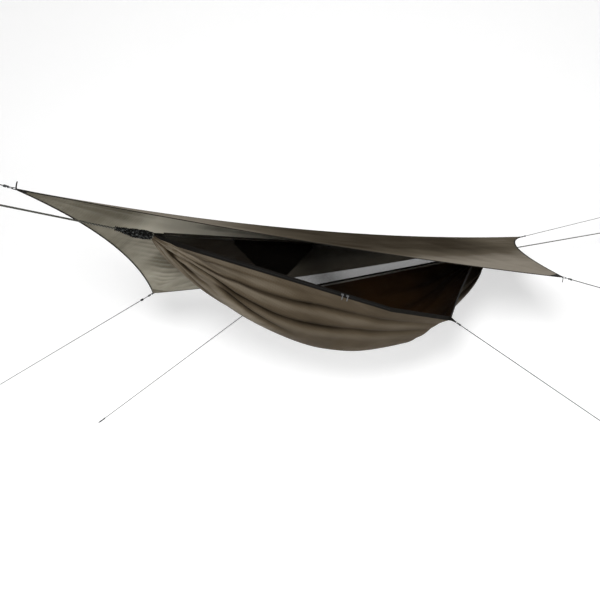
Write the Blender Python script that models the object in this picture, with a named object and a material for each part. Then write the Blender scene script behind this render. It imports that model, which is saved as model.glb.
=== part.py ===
# Hammock tent: a netted, side-entry hammock hung between two trees under its own rain fly.
# Metres, +Z up. The origin is inside the bight of the left main rope's eye, where the tree holds it.
# Pieces are modelled round the middle of the ridge line: X runs along it from left to right,
# and Y away from the side with the zip.
import math

import bmesh
import bpy
import numpy as np
from mathutils import Vector

# Fits between pieces
SEAT_GAP = 0.0003
SLIDE_GAP = 0.0004

# Hammock: the ridge line sets the length, the tie-outs the width
RIDGE_LINE_LENGTH = 2.90
RIDGE_LINE_DIAMETER = 0.004
NEAR_TIE_ALONG = 0.331
NEAR_TIE_OUT = 0.572
NEAR_TIE_DROP = 0.482
FAR_TIE_ALONG = 0.240
FAR_TIE_OUT = 0.575
FAR_TIE_DROP = 0.335
ZIP_FOOT_ALONG = 0.112
ZIP_FOOT_OUT = 0.430
ZIP_FOOT_DROP = 0.397
BODY_DROP = 0.668
BODY_THICKNESS = 0.002
BODY_FOLD_HEIGHT = 0.009
BODY_FOLD_REACH = 0.42
BODY_BELLY_SHARES = (1.65, 0.835)
BODY_SECTION_SHARE = 2.22
BODY_SIDE_BULGE = 0.288
BODY_FOLD_COUNT = 4
NET_THICKNESS = 0.001
NET_RISE = 0.012
NET_SEAM_HALF = 0.0008
STATION_SPACING = 0.10

# Edge tapes and tie-out corners of the hammock
TAPE_WIDTH = 0.026
TAPE_THICKNESS = 0.0025
TAPE_HEAD_DROP = 0.008
FOOT_EDGE_BOW = 0.030
TIE_PATCH_LENGTH = 0.040
TIE_PATCH_WIDTH = 0.028
TIE_APEX_WIDTH = 0.012
TIE_APEX_HEIGHT = 0.006

# End bundles, gathered and whipped
BUNDLE_LENGTH = 0.060
BUNDLE_MARGIN = 0.004
BUNDLE_NECK_RADIUS = 0.014
WHIPPING_RADIUS = 0.018
WHIPPING_LENGTH = 0.018
BUNDLE_NOSE_LENGTH = 0.006

# Zip on the near edge
ZIP_HEAD_MARGIN = 0.250
ZIP_FOOT_MARGIN = 0.015
COIL_HEIGHT = 0.006
COIL_DEPTH = 0.002
SLIDER_FROM_HEAD = 1.132
SLIDER_SPACING = 0.034
SLIDER_LENGTH = 0.016
SLIDER_WALL = 0.0016
SLIDER_EAR_LENGTH = 0.0016
SLIDER_EAR_HEIGHT = 0.0046
SLIDER_EAR_WIDTH = 0.0036
SLIDER_EAR_SPACING = 0.0072
PULL_PIN_RADIUS = 0.0008
PULL_PIN_HEIGHT = 0.0030
PULL_EYE_RADIUS = 0.0023
PULL_LENGTH = 0.030
PULL_WIDTH = 0.0065
PULL_THICKNESS = 0.0016
PULL_EYE_LENGTH = 0.0036

# Ridge-line pouch and hooks
POUCH_FROM_MIDDLE = 0.640
POUCH_WIDTH = 0.600
POUCH_TOP_DROP = 0.022
POUCH_DEPTH = 0.235
POUCH_THICKNESS = 0.026
POUCH_WALL = 0.002
POUCH_CHANNEL_RADIUS = 0.0045
POUCH_CHANNEL_BORE = 0.0026
CLIP_RADIUS = 0.0060
CLIP_LENGTH = 0.010
HOOKS_FROM_MIDDLE = (0.261, 0.208)
HOOK_RING_RADIUS = 0.0045
HOOK_RING_LENGTH = 0.006
HOOK_WIRE_RADIUS = 0.0012
HOOK_DROP = 0.020
HOOK_CURL_RADIUS = 0.006

# Rain fly: its ridge and the two corners that are pegged out
FLY_RIDGE_HALF_LENGTH = 2.13
FLY_RIDGE_RISE = 0.168
FLY_RIDGE_SAG = 0.082
FLY_RIDGE_SAG_SHIFT = 0.20
FLY_NEAR_ALONG = 0.845
FLY_NEAR_OUT = 1.008
FLY_NEAR_DROP = 0.208
FLY_FAR_ALONG = 0.851
FLY_FAR_OUT = 1.015
FLY_FAR_DROP = 0.293
FLY_HEM_SAG_NEAR = 0.028
FLY_HEM_SAG_FAR = 0.046
FLY_EDGE_HOLLOW_NEAR = 0.165
FLY_EDGE_HOLLOW_FAR = 0.097
FLY_THICKNESS = 0.002
FLY_ROWS = 20
SEAM_RADIUS = 0.004
BINDING_RADIUS = 0.003
BINDING_GAP = 0.0006
CORNER_LENGTH = 0.055
CORNER_MARGIN = 0.0012
CORNER_NOSE_WIDTH = 0.012
CORNER_NOSE_HEIGHT = 0.006
TAB_LENGTH = 0.016
TAB_WIDTH = 0.010
TAB_HEIGHT = 0.009
TAB_WALL = 0.0024
TAB_ROOT = 0.004
RING_RADIUS = 0.011
RING_WIRE_RADIUS = 0.0016
RING_SEAT_GAP = 0.0022
TAIL_LENGTH = 0.026
TAIL_WIDTH = 0.008
TAIL_THICKNESS = 0.003

# Ropes and guy lines
MAIN_ROPE_DIAMETER = 0.009
MAIN_ROPE_RISE_DEG = 7.35
MAIN_ROPE_LEFT_LENGTH = 0.755
MAIN_ROPE_RIGHT_LENGTH = 2.195
GUY_DIAMETER = 0.005
FLY_CORD_LEFT_RISE_DEG = 10.5
FLY_CORD_RIGHT_RISE_DEG = 10.0
FLY_CORD_LEFT_LENGTH = 0.060
FLY_CORD_RIGHT_LENGTH = 1.510
FLY_GUY_FAR_LENGTH = 1.850
FLY_GUY_NEAR_LENGTH = 0.215
GUY_NEAR_LENGTH = 1.020
GUY_FAR_LENGTH = 1.535
FLY_GUY_FAR_SHARES = (-0.238, 0.887, -0.396)
FLY_GUY_NEAR_SHARES = (0.256, -0.920, -0.298)
GUY_NEAR_SHARES = (0.410, -0.714, -0.568)
GUY_FAR_SHARES = (-0.409, 0.713, -0.570)
KNOT_LENGTH_SHARE = 3.2
KNOT_RADIUS_SHARE = 1.35
EYE_LENGTH_SHARE = 10.0
EYE_WIDTH_SHARE = 5.0
CORD_POINTS = 16

# Storage sleeves and the line adjuster
SLEEVE_START = 0.008
SLEEVE_LENGTH = 0.170
SLEEVE_RADIUS = 0.017
SLEEVE_RIPPLE = 0.003
SLEEVE_RIPPLES = 5
ADJUSTER_FROM_RING = 0.070
ADJUSTER_LENGTH = 0.024
ADJUSTER_RADIUS = 0.0078


def vec(x, y, z):
    return np.array((x, y, z), float)


def unit(v):
    v = np.asarray(v, float)
    return v / np.linalg.norm(v)


UP = vec(0, 0, 1)
ALONG = vec(1, 0, 0)

HALF = RIDGE_LINE_LENGTH / 2
BODY_END = HALF - BUNDLE_LENGTH
NEAR_TIE = vec(NEAR_TIE_ALONG, -NEAR_TIE_OUT, -NEAR_TIE_DROP)
FAR_TIE = vec(-FAR_TIE_ALONG, FAR_TIE_OUT, -FAR_TIE_DROP)
NEAR_GUY_WAY = unit(GUY_NEAR_SHARES)
FAR_GUY_WAY = unit(GUY_FAR_SHARES)
HEAD_RIM = vec(-HALF, 0, -TAPE_HEAD_DROP)
FOOT_RIM = vec(HALF, 0, -TAPE_HEAD_DROP)
NEAR_CORNER = NEAR_TIE - TIE_PATCH_LENGTH * NEAR_GUY_WAY
FAR_CORNER = FAR_TIE - TIE_PATCH_LENGTH * FAR_GUY_WAY
ZIP_FOOT = vec(-ZIP_FOOT_ALONG, -ZIP_FOOT_OUT, -ZIP_FOOT_DROP)


def rising(sign, degrees):
    """The way of a rope that leaves along X, to the left or the right, and climbs."""
    return vec(sign * math.cos(math.radians(degrees)), 0, math.sin(math.radians(degrees)))


MAIN_LEFT_WAY = rising(-1, MAIN_ROPE_RISE_DEG)
MAIN_RIGHT_WAY = rising(1, MAIN_ROPE_RISE_DEG)
KNOT_REACH = WHIPPING_LENGTH + 2 * BUNDLE_NOSE_LENGTH
MAIN_LEFT_START = vec(-HALF - KNOT_REACH, 0, 0)
MAIN_RIGHT_START = vec(HALF + KNOT_REACH, 0, 0)


def end_fit(diameter):
    """How far a tied eye reaches past the end of its cord."""
    return SEAT_GAP + (KNOT_LENGTH_SHARE + EYE_LENGTH_SHARE) * diameter


def anchor(start, way, length, diameter):
    """The inside of the bight of the eye that ends a cord, where what holds it bears."""
    return start + (length + end_fit(diameter) - diameter) * way


ANCHOR = anchor(MAIN_LEFT_START, MAIN_LEFT_WAY, MAIN_ROPE_LEFT_LENGTH, MAIN_ROPE_DIAMETER)


# Scene and materials
for old in list(bpy.data.objects):
    bpy.data.objects.remove(old, do_unlink=True)

hammock_centre = bpy.data.objects.new("hammock_centre", None)
bpy.context.scene.collection.objects.link(hammock_centre)
hammock_centre.location = -ANCHOR


def material(name, colour, roughness, metallic=0.0):
    """A Principled material from an sRGB hex colour."""
    values = [int(colour[i : i + 2], 16) / 255 for i in (0, 2, 4)]
    linear = [v / 12.92 if v <= 0.04045 else ((v + 0.055) / 1.055) ** 2.4 for v in values]
    made = bpy.data.materials.new(name)
    made.use_nodes = True
    shader = made.node_tree.nodes["Principled BSDF"]
    shader.inputs["Base Color"].default_value = (*linear, 1.0)
    shader.inputs["Roughness"].default_value = roughness
    shader.inputs["Metallic"].default_value = metallic
    made.diffuse_color = (*linear, 1.0)
    return made


FLY_TOP = material("fly_near_cloth", "6a6054", 0.55)
FLY_UNDER = material("fly_far_cloth", "7f7c6e", 0.55)
BINDING = material("binding", "2e2c27", 0.70)
WEBBING = material("webbing", "1b1b1a", 0.80)
BODY_CLOTH = material("body_cloth", "4a4238", 0.60)
NET_CLOTH = material("insect_net", "17181a", 0.85)
ROPE = material("rope", "2b2c28", 0.80)
CORD = material("guy_cord", "55575a", 0.75)
STEEL = material("ring_steel", "8a8c8e", 0.30, 1.0)
ZIP_METAL = material("zip_metal", "26272a", 0.40, 0.8)
COIL_PLASTIC = material("zip_coil_plastic", "151516", 0.50)
POUCH_CLOTH = material("pouch_cloth", "16140f", 0.75)
SLEEVE_MESH = material("sleeve_mesh", "1d1c19", 0.85)
HOOK_PLASTIC = material("hook_plastic", "111112", 0.45)


# Meshes and solids
def new_object(name, data, surface, origin=(0, 0, 0)):
    data.materials.append(surface)
    made = bpy.data.objects.new(name, data)
    bpy.context.scene.collection.objects.link(made)
    made.parent = hammock_centre
    made.location = origin
    return made


def mesh_object(name, points, faces, surface, origin=(0, 0, 0), smooth_deg=None, outward=True):
    """A mesh from points in the hammock's frame, with the object's origin where it is asked for."""
    data = bpy.data.meshes.new(name)
    data.from_pydata((np.asarray(points, float) - np.asarray(origin, float)).tolist(), [], faces)
    if outward:
        shell = bmesh.new()
        shell.from_mesh(data)
        bmesh.ops.recalc_face_normals(shell, faces=shell.faces)
        shell.to_mesh(data)
        shell.free()
    if smooth_deg is not None:
        data.shade_smooth()
        data.set_sharp_from_angle(angle=math.radians(smooth_deg))
    return new_object(name, data, surface, origin)


def cut_and_join(target, cutters=(), joined=()):
    """Cuts and joins other solids into target, and leaves it as one plain mesh."""
    for operation, others in (("UNION", joined), ("DIFFERENCE", cutters)):
        for other in others:
            boolean = target.modifiers.new(other.name, "BOOLEAN")
            boolean.operation = operation
            boolean.solver = "EXACT"
            boolean.object = other
    bpy.context.view_layer.update()
    evaluated = target.evaluated_get(bpy.context.evaluated_depsgraph_get())
    data = bpy.data.meshes.new_from_object(evaluated)
    target.modifiers.clear()
    target.data = data
    for other in (*cutters, *joined):
        bpy.data.objects.remove(other, do_unlink=True)
    return target


def rings_to_solid(rings, closed=False):
    """Points and faces of a skin over rings of equal count, capped, or joined end to start."""
    count, sides = len(rings), len(rings[0])
    points = np.concatenate([np.asarray(ring, float) for ring in rings])
    faces = []
    for i in range(count if closed else count - 1):
        a, b = i * sides, ((i + 1) % count) * sides
        for j in range(sides):
            k = (j + 1) % sides
            faces.append((a + j, a + k, b + k, b + j))
    if not closed:
        faces.append(tuple(range(sides))[::-1])
        faces.append(tuple((count - 1) * sides + j for j in range(sides)))
    return points, faces


def circle(centre, across, other, radius, sides, radius_b=None):
    angles = np.linspace(0, 2 * math.pi, sides, endpoint=False)[:, None]
    radius_b = radius if radius_b is None else radius_b
    return centre + radius * np.cos(angles) * across + radius_b * np.sin(angles) * other


def square_to(way, hint=UP):
    """Two unit directions square to way, the second as near to hint as it can be."""
    way = unit(way)
    other = np.asarray(hint, float) - np.dot(hint, way) * way
    if np.linalg.norm(other) < 1e-6:
        other = np.cross(way, ALONG)
    other = unit(other)
    return np.cross(other, way), other


def wire(points, radius, sides, hint, closed=False):
    """Rings of a bent wire of constant radius, kept from twisting by one fixed direction."""
    points = np.asarray(points, float)
    if closed:
        ways = np.roll(points, -1, 0) - np.roll(points, 1, 0)
    else:
        ways = np.gradient(points, axis=0)
    rings = []
    for point, way in zip(points, ways):
        across, other = square_to(way, hint)
        rings.append(circle(point, across, other, radius, sides))
    return rings


def turned(name, start, way, profile, surface, sides=12, origin=(0, 0, 0), bore=None):
    """A turned solid: profile holds (distance along way, radius); bore adds a through hole."""
    across, other = square_to(way)
    rings = [circle(start + along * way, across, other, radius, sides) for along, radius in profile]
    if bore is not None:
        rings += [circle(start + profile[k][0] * way, across, other, bore, sides) for k in (-1, 0)]
    points, faces = rings_to_solid(rings, closed=bore is not None)
    return mesh_object(name, points, faces, surface, origin, smooth_deg=40)


def hull(name, points, surface):
    """The convex solid round a set of points."""
    shell = bmesh.new()
    for point in points:
        shell.verts.new(point)
    found = bmesh.ops.convex_hull(shell, input=shell.verts)
    inner = {item for item in found["geom_interior"] if isinstance(item, bmesh.types.BMVert)}
    unused = {item for item in found["geom_unused"] if isinstance(item, bmesh.types.BMVert)}
    bmesh.ops.delete(shell, geom=list(inner | unused), context="VERTS")
    bmesh.ops.recalc_face_normals(shell, faces=shell.faces)
    data = bpy.data.meshes.new(name)
    shell.to_mesh(data)
    shell.free()
    return new_object(name, data, surface)


def prism(name, outline, origin, u, v, w, length, surface, hole=None):
    """An outline in the u, v plane, with an optional hole of as many points, drawn out along w."""
    def place(flat, offset):
        return [origin + a * u + b * v + offset * w for a, b in flat]

    rings = [place(outline, -length / 2), place(outline, length / 2)]
    if hole is not None:
        rings += [place(hole, length / 2), place(hole, -length / 2)]
    points, faces = rings_to_solid(rings, closed=hole is not None)
    return mesh_object(name, points, faces, surface)


def block(name, centre, u, v, w, sizes, surface):
    a, b = sizes[0] / 2, sizes[1] / 2
    return prism(name, [(-a, -b), (a, -b), (a, b), (-a, b)], centre, u, v, w, sizes[2], surface)


def stadium(length, width, start, corner_points=3):
    """A slot-shaped outline from start to start + length, in (along, across) pairs."""
    radius = width / 2
    points = []
    for centre, first in ((start + length - radius, -90), (start + radius, 90)):
        for k in range(corner_points + 1):
            angle = math.radians(first + 180 * k / corner_points)
            points.append((centre + radius * math.cos(angle), radius * math.sin(angle)))
    return points


def straight_cord(name, start, way, length, diameter, surface):
    """A taut cord: a round tube along an evenly divided straight run."""
    curve = bpy.data.curves.new(name, "CURVE")
    curve.dimensions = "3D"
    curve.bevel_depth = diameter / 2
    curve.bevel_resolution = 2
    curve.use_fill_caps = True
    spline = curve.splines.new("POLY")
    spline.points.add(CORD_POINTS - 1)
    for point, along in zip(spline.points, np.linspace(0, length, CORD_POINTS)):
        point.co = (*(start + along * way), 1.0)
    spline.use_smooth = True
    return new_object(name, curve, surface)


def tied_eye(name, start, way, diameter, surface, hint=UP):
    """The knot and eye that end a cord: a turned knot joined to a closed loop of the cord."""
    across, other = square_to(way, hint)
    knot_length = KNOT_LENGTH_SHARE * diameter
    knot_radius = KNOT_RADIUS_SHARE * diameter
    shares = ((0.0, 0.55), (0.15, 0.9), (0.5, 1.0), (0.85, 0.9), (1.0, 0.55))
    profile = [(a * knot_length, r * knot_radius) for a, r in shares]
    knot = turned(name, start + SEAT_GAP * way, way, profile, surface, sides=8)
    half_length = EYE_LENGTH_SHARE * diameter / 2
    half_width = EYE_WIDTH_SHARE * diameter / 2
    centre = start + (SEAT_GAP + knot_length + half_length - diameter / 2) * way
    path = circle(centre, way, across, half_length, 18, half_width)
    points, faces = rings_to_solid(wire(path, diameter / 2, 6, other, closed=True), closed=True)
    loop = mesh_object(name + "_loop", points, faces, surface, smooth_deg=60)
    return cut_and_join(knot, joined=[loop])


def ended_cord(name, start, way, length, diameter, surface):
    straight_cord(name, start, way, length, diameter, surface)
    tied_eye(name + "_eye", start + length * way, way, diameter, surface)


# Edge lines of the hammock, as functions of the place along the ridge line
def between(x, a, b, bow=0.0):
    """The line from a to b at place x along, bowed to the ridge line's side and down."""
    t = (x - a[0]) / (b[0] - a[0])
    lift = 4 * t * (1 - t) * bow
    y = a[1] + (b[1] - a[1]) * t
    return np.array((x, y - math.copysign(lift, a[1] + b[1]), a[2] + (b[2] - a[2]) * t - lift))


def near_rim(x):
    if x <= ZIP_FOOT[0]:
        return between(x, HEAD_RIM, ZIP_FOOT)
    if x <= NEAR_CORNER[0]:
        return between(x, ZIP_FOOT, NEAR_CORNER)
    return between(x, NEAR_CORNER, FOOT_RIM, FOOT_EDGE_BOW)


def far_rim(x):
    if x <= FAR_CORNER[0]:
        return between(x, HEAD_RIM, FAR_CORNER, FOOT_EDGE_BOW)
    return between(x, FAR_CORNER, FOOT_RIM)


def stations():
    """Places along the ridge line, with one at each corner of either edge."""
    keys = sorted((-BODY_END, FAR_CORNER[0], ZIP_FOOT[0], NEAR_CORNER[0], BODY_END))
    places = [keys[0]]
    for low, high in zip(keys, keys[1:]):
        count = max(1, round((high - low) / STATION_SPACING))
        places += list(np.linspace(low, high, count + 1)[1:])
    return places


STATIONS = stations()


def stations_within(margin):
    """The same places, with the first and the last drawn in by a margin."""
    return [STATIONS[0] + margin, *STATIONS[1:-1], STATIONS[-1] - margin]


# Hammock body
def belly(x):
    """How far the bed hangs below the ridge line at place x."""
    reach, fullness = BODY_BELLY_SHARES
    return BODY_DROP * (1 - (abs(x) / HALF) ** reach) ** fullness


def body_section(x, shares):
    """Points across the bed at place x, from the near edge to the far edge."""
    below = (TAPE_WIDTH / 2 + SEAT_GAP + BODY_THICKNESS / 2) * UP
    near, far = near_rim(x) - below, far_rim(x) - below
    depth = belly(x) + (near[2] + far[2]) / 2
    along_share = x / HALF
    bulge = BODY_SIDE_BULGE * along_share**2 * math.sqrt(1 - along_share**2)
    arch = np.sin(math.pi * shares)
    points = near + np.outer(shares, far - near)
    points[:, 1] -= bulge * np.sin(2 * math.pi * shares) * arch
    points[:, 2] -= depth * (arch**BODY_SECTION_SHARE + arch) / 2
    slopes = np.gradient(points[:, 1:], axis=0)
    normals = np.stack([slopes[:, 1], -slopes[:, 0]], 1)
    normals /= np.linalg.norm(normals, axis=1)[:, None]
    from_end = HALF - abs(x)
    height = BODY_FOLD_HEIGHT * math.exp(-from_end / BODY_FOLD_REACH)
    waves = np.cos(2 * math.pi * BODY_FOLD_COUNT * shares) * arch
    points[:, 1:] += height * waves[:, None] * normals
    return points


def sheet_faces(rows, columns):
    return [
        (i * columns + j, i * columns + j + 1, (i + 1) * columns + j + 1, (i + 1) * columns + j)
        for i in range(rows - 1)
        for j in range(columns - 1)
    ]


def thicken(made, thickness):
    wall = made.modifiers.new("wall", "SOLIDIFY")
    wall.thickness = thickness
    wall.offset = 0
    wall.use_rim = True
    return made


def make_body():
    shares = np.linspace(0, 1, 21)
    places = stations_within(BODY_THICKNESS / 2)
    points = np.concatenate([body_section(x, shares) for x in places])
    faces = sheet_faces(len(places), len(shares))
    body = mesh_object("hammock_body", points, faces, BODY_CLOTH, smooth_deg=60, outward=False)
    thicken(body, BODY_THICKNESS)


# Insect nets
def make_net(name, rim, side):
    """A net from the seam over the ridge line down to one edge tape."""
    above = (TAPE_WIDTH / 2 + SEAT_GAP + NET_THICKNESS / 2) * UP
    shares = np.linspace(0, 1, 6)
    rows = []
    for x in stations_within(NET_THICKNESS / 2):
        top = vec(x, side * NET_SEAM_HALF, NET_RISE)
        rows.append(top + np.outer(shares, rim(x) + above - top))
    faces = sheet_faces(len(rows), len(shares))
    net = mesh_object(name, np.concatenate(rows), faces, NET_CLOTH, outward=False)
    thicken(net, NET_THICKNESS)


# Edge tapes, held upright
def tape_side(rim, i):
    """Half the tape's thickness, square to it and mitred, at the station of number i."""
    path = np.array([rim(x)[:2] for x in STATIONS])
    steps = np.diff(path, axis=0)
    steps /= np.linalg.norm(steps, axis=1)[:, None]
    before, after = steps[max(i - 1, 0)], steps[min(i, len(steps) - 1)]
    at_end = i in (0, len(path) - 1)
    middle = ALONG[:2] if at_end else unit(before + after)
    return vec(-middle[1], middle[0], 0) * TAPE_THICKNESS / 2 / np.dot(middle, after)


def make_tape(name, rim):
    rings = []
    half = UP * TAPE_WIDTH / 2
    for i, x in enumerate(STATIONS):
        point, side = rim(x), tape_side(rim, i)
        low, high = point - half, point + half
        rings.append([low - side, low + side, high + side, high - side])
    points, faces = rings_to_solid(rings)
    mesh_object(name, points, faces, WEBBING)


def make_tie_out(name, rim, corner, way):
    """A webbing corner from the edge tape to its apex, with the loop that the guy line is tied in."""
    fold = tape_side(rim, STATIONS.index(corner[0]))
    outward = unit(fold) * np.sign(np.dot(fold, way))
    across = np.cross(UP, outward)
    base = corner + outward * (np.linalg.norm(fold) + SEAT_GAP)
    apex = corner + TIE_PATCH_LENGTH * way
    side, other = square_to(way)
    points = []
    for a in (-1, 1):
        for b in (-1, 1):
            points.append(base + a * TIE_PATCH_WIDTH / 2 * across + b * TAPE_WIDTH / 2 * UP)
            points.append(apex + a * TIE_APEX_WIDTH / 2 * side + b * TIE_APEX_HEIGHT / 2 * other)
    patch = hull(name, points, WEBBING)
    return cut_and_join(patch, joined=[webbing_loop(name + "_loop", apex, way, side, other)])


def webbing_loop(name, start, way, side, other):
    """A flat loop of webbing that stands out of a corner, with room for a ring or a knot."""
    outer = stadium(TAB_LENGTH + TAB_ROOT, TAB_HEIGHT, -TAB_ROOT)
    hole_length = TAB_LENGTH + TAB_ROOT - 2 * TAB_WALL
    inner = stadium(hole_length, TAB_HEIGHT - 2 * TAB_WALL, TAB_WALL - TAB_ROOT)
    return prism(name, outer, start, way, other, side, TAB_WIDTH, WEBBING, hole=inner)


# End bundles: the cloth drawn together, whipped with the rope
def make_bundle(name, sign):
    face = sign * (BODY_END + SEAT_GAP)
    near, far = near_rim(sign * BODY_END), far_rim(sign * BODY_END)
    low = -belly(BODY_END) - BODY_THICKNESS - BODY_FOLD_HEIGHT - BUNDLE_MARGIN
    high = NET_RISE + BUNDLE_MARGIN
    left, right = near[1] - BUNDLE_MARGIN, far[1] + BUNDLE_MARGIN
    across = vec(0, 1, 0)
    middle = vec(face, (left + right) / 2, (low + high) / 2)
    half_width, half_height = (right - left) / 2, (high - low) / 2
    neck = vec(sign * HALF, 0, 0)
    shares = ((0.0, 1.0), (0.35, 0.72), (0.7, 0.36), (1.0, 0.0))
    rings = []
    for along, spread in shares:
        centre = middle * (1 - along) + neck * along
        wide = half_width * spread + BUNDLE_NECK_RADIUS * (1 - spread)
        tall = half_height * spread + BUNDLE_NECK_RADIUS * (1 - spread)
        rings.append(circle(centre, across, UP, wide, 14, tall))
    steps = (
        (BUNDLE_NOSE_LENGTH / 2, BUNDLE_NECK_RADIUS),
        (BUNDLE_NOSE_LENGTH, WHIPPING_RADIUS),
        (BUNDLE_NOSE_LENGTH + WHIPPING_LENGTH, WHIPPING_RADIUS),
        (KNOT_REACH, MAIN_ROPE_DIAMETER),
    )
    for along, radius in steps:
        rings.append(circle(neck + sign * along * ALONG, across, UP, radius, 14))
    points, faces = rings_to_solid(rings)
    mesh_object(name, points, faces, BODY_CLOTH, smooth_deg=50)


# Zip: coil, sliders and pulls
ZIP_WAY = unit(ZIP_FOOT - HEAD_RIM)
ZIP_OUT = unit(np.cross(ZIP_WAY, UP))
ZIP_UP = np.cross(ZIP_OUT, ZIP_WAY)
COIL_LENGTH = np.linalg.norm(ZIP_FOOT - HEAD_RIM) - ZIP_HEAD_MARGIN - ZIP_FOOT_MARGIN
COIL_OUT = TAPE_THICKNESS / 2 + SEAT_GAP


def zip_place(along, out, up=0.0):
    return HEAD_RIM + along * ZIP_WAY + out * ZIP_OUT + up * ZIP_UP


def make_coil():
    centre = zip_place(ZIP_HEAD_MARGIN + COIL_LENGTH / 2, COIL_OUT + COIL_DEPTH / 2)
    sizes = (COIL_DEPTH, COIL_HEIGHT, COIL_LENGTH)
    block("zip_coil", centre, ZIP_OUT, ZIP_UP, ZIP_WAY, sizes, COIL_PLASTIC)


def make_slider(name, along):
    """A slider that straddles the coil, with two ears and the pin that its pull hangs on."""
    back = COIL_OUT
    inside = COIL_DEPTH + SLIDE_GAP
    half_inside = COIL_HEIGHT / 2 + SLIDE_GAP
    half_outside = half_inside + SLIDER_WALL
    front = inside + SLIDER_WALL
    outline = [
        (0, -half_outside),
        (front, -half_outside),
        (front, half_outside),
        (0, half_outside),
        (0, half_inside),
        (inside, half_inside),
        (inside, -half_inside),
        (0, -half_inside),
    ]
    centre = zip_place(along, back)
    slider = prism(name, outline, centre, ZIP_OUT, ZIP_UP, ZIP_WAY, SLIDER_LENGTH, ZIP_METAL)
    ears = []
    for side in (-1, 1):
        place = along + side * SLIDER_EAR_SPACING / 2
        middle = zip_place(place, back + front + SLIDER_EAR_HEIGHT / 2 - SLIDER_WALL / 2)
        sizes = (SLIDER_EAR_HEIGHT + SLIDER_WALL, SLIDER_EAR_WIDTH, SLIDER_EAR_LENGTH)
        ears.append(block(f"{name}_ear_{side}", middle, ZIP_OUT, ZIP_UP, ZIP_WAY, sizes, ZIP_METAL))
    pin_start = zip_place(along - SLIDER_EAR_SPACING / 2, back + front + PULL_PIN_HEIGHT)
    profile = [(0, PULL_PIN_RADIUS), (SLIDER_EAR_SPACING, PULL_PIN_RADIUS)]
    ears.append(turned(name + "_pin", pin_start, ZIP_WAY, profile, ZIP_METAL, sides=10))
    cut_and_join(slider, joined=ears)
    move_origin(slider, centre)
    return zip_place(along, back + front + PULL_PIN_HEIGHT)


def move_origin(made, origin):
    """Puts the object's origin on its joint and leaves its shape where it is."""
    shift = Vector(made.location) - Vector(origin)
    for vertex in made.data.vertices:
        vertex.co += shift
    made.location = origin


def make_pull(name, pin):
    """A pull tab that hangs from the slider's pin by its eye, with a neck between the ears."""
    start = pin - ZIP_WAY * PULL_EYE_LENGTH / 2
    profile = [(0, PULL_EYE_RADIUS), (PULL_EYE_LENGTH, PULL_EYE_RADIUS)]
    pull = turned(name, start, ZIP_WAY, profile, ZIP_METAL)
    half_neck, half_plate = PULL_EYE_LENGTH / 2 - SEAT_GAP, PULL_WIDTH / 2
    shoulder = PULL_EYE_RADIUS + SLIDER_EAR_WIDTH
    outline = [
        (0, -half_neck),
        (shoulder, -half_neck),
        (shoulder + half_plate, -half_plate),
        (PULL_LENGTH, -half_plate),
        (PULL_LENGTH, half_plate),
        (shoulder + half_plate, half_plate),
        (shoulder, half_neck),
        (0, half_neck),
    ]
    plate = prism(name + "_plate", outline, pin, -ZIP_UP, ZIP_WAY, ZIP_OUT, PULL_THICKNESS, ZIP_METAL)
    bore = PULL_PIN_RADIUS + SLIDE_GAP
    through = [(-PULL_EYE_LENGTH, bore), (2 * PULL_EYE_LENGTH, bore)]
    cutter = turned(name + "_bore", start, ZIP_WAY, through, ZIP_METAL)
    cut_and_join(pull, joined=[plate], cutters=[cutter])
    move_origin(pull, pin)


def make_zip():
    make_coil()
    for name, side in (("left", -1), ("right", 1)):
        along = SLIDER_FROM_HEAD + side * SLIDER_SPACING / 2
        pin = make_slider(f"zip_slider_{name}", along)
        make_pull(f"zip_pull_{name}", pin)


# Ridge line and what hangs from it
def make_ridge_line():
    length = 2 * BODY_END
    straight_cord("ridge_line", vec(-BODY_END, 0, 0), ALONG, length, RIDGE_LINE_DIAMETER, ROPE)


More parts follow.
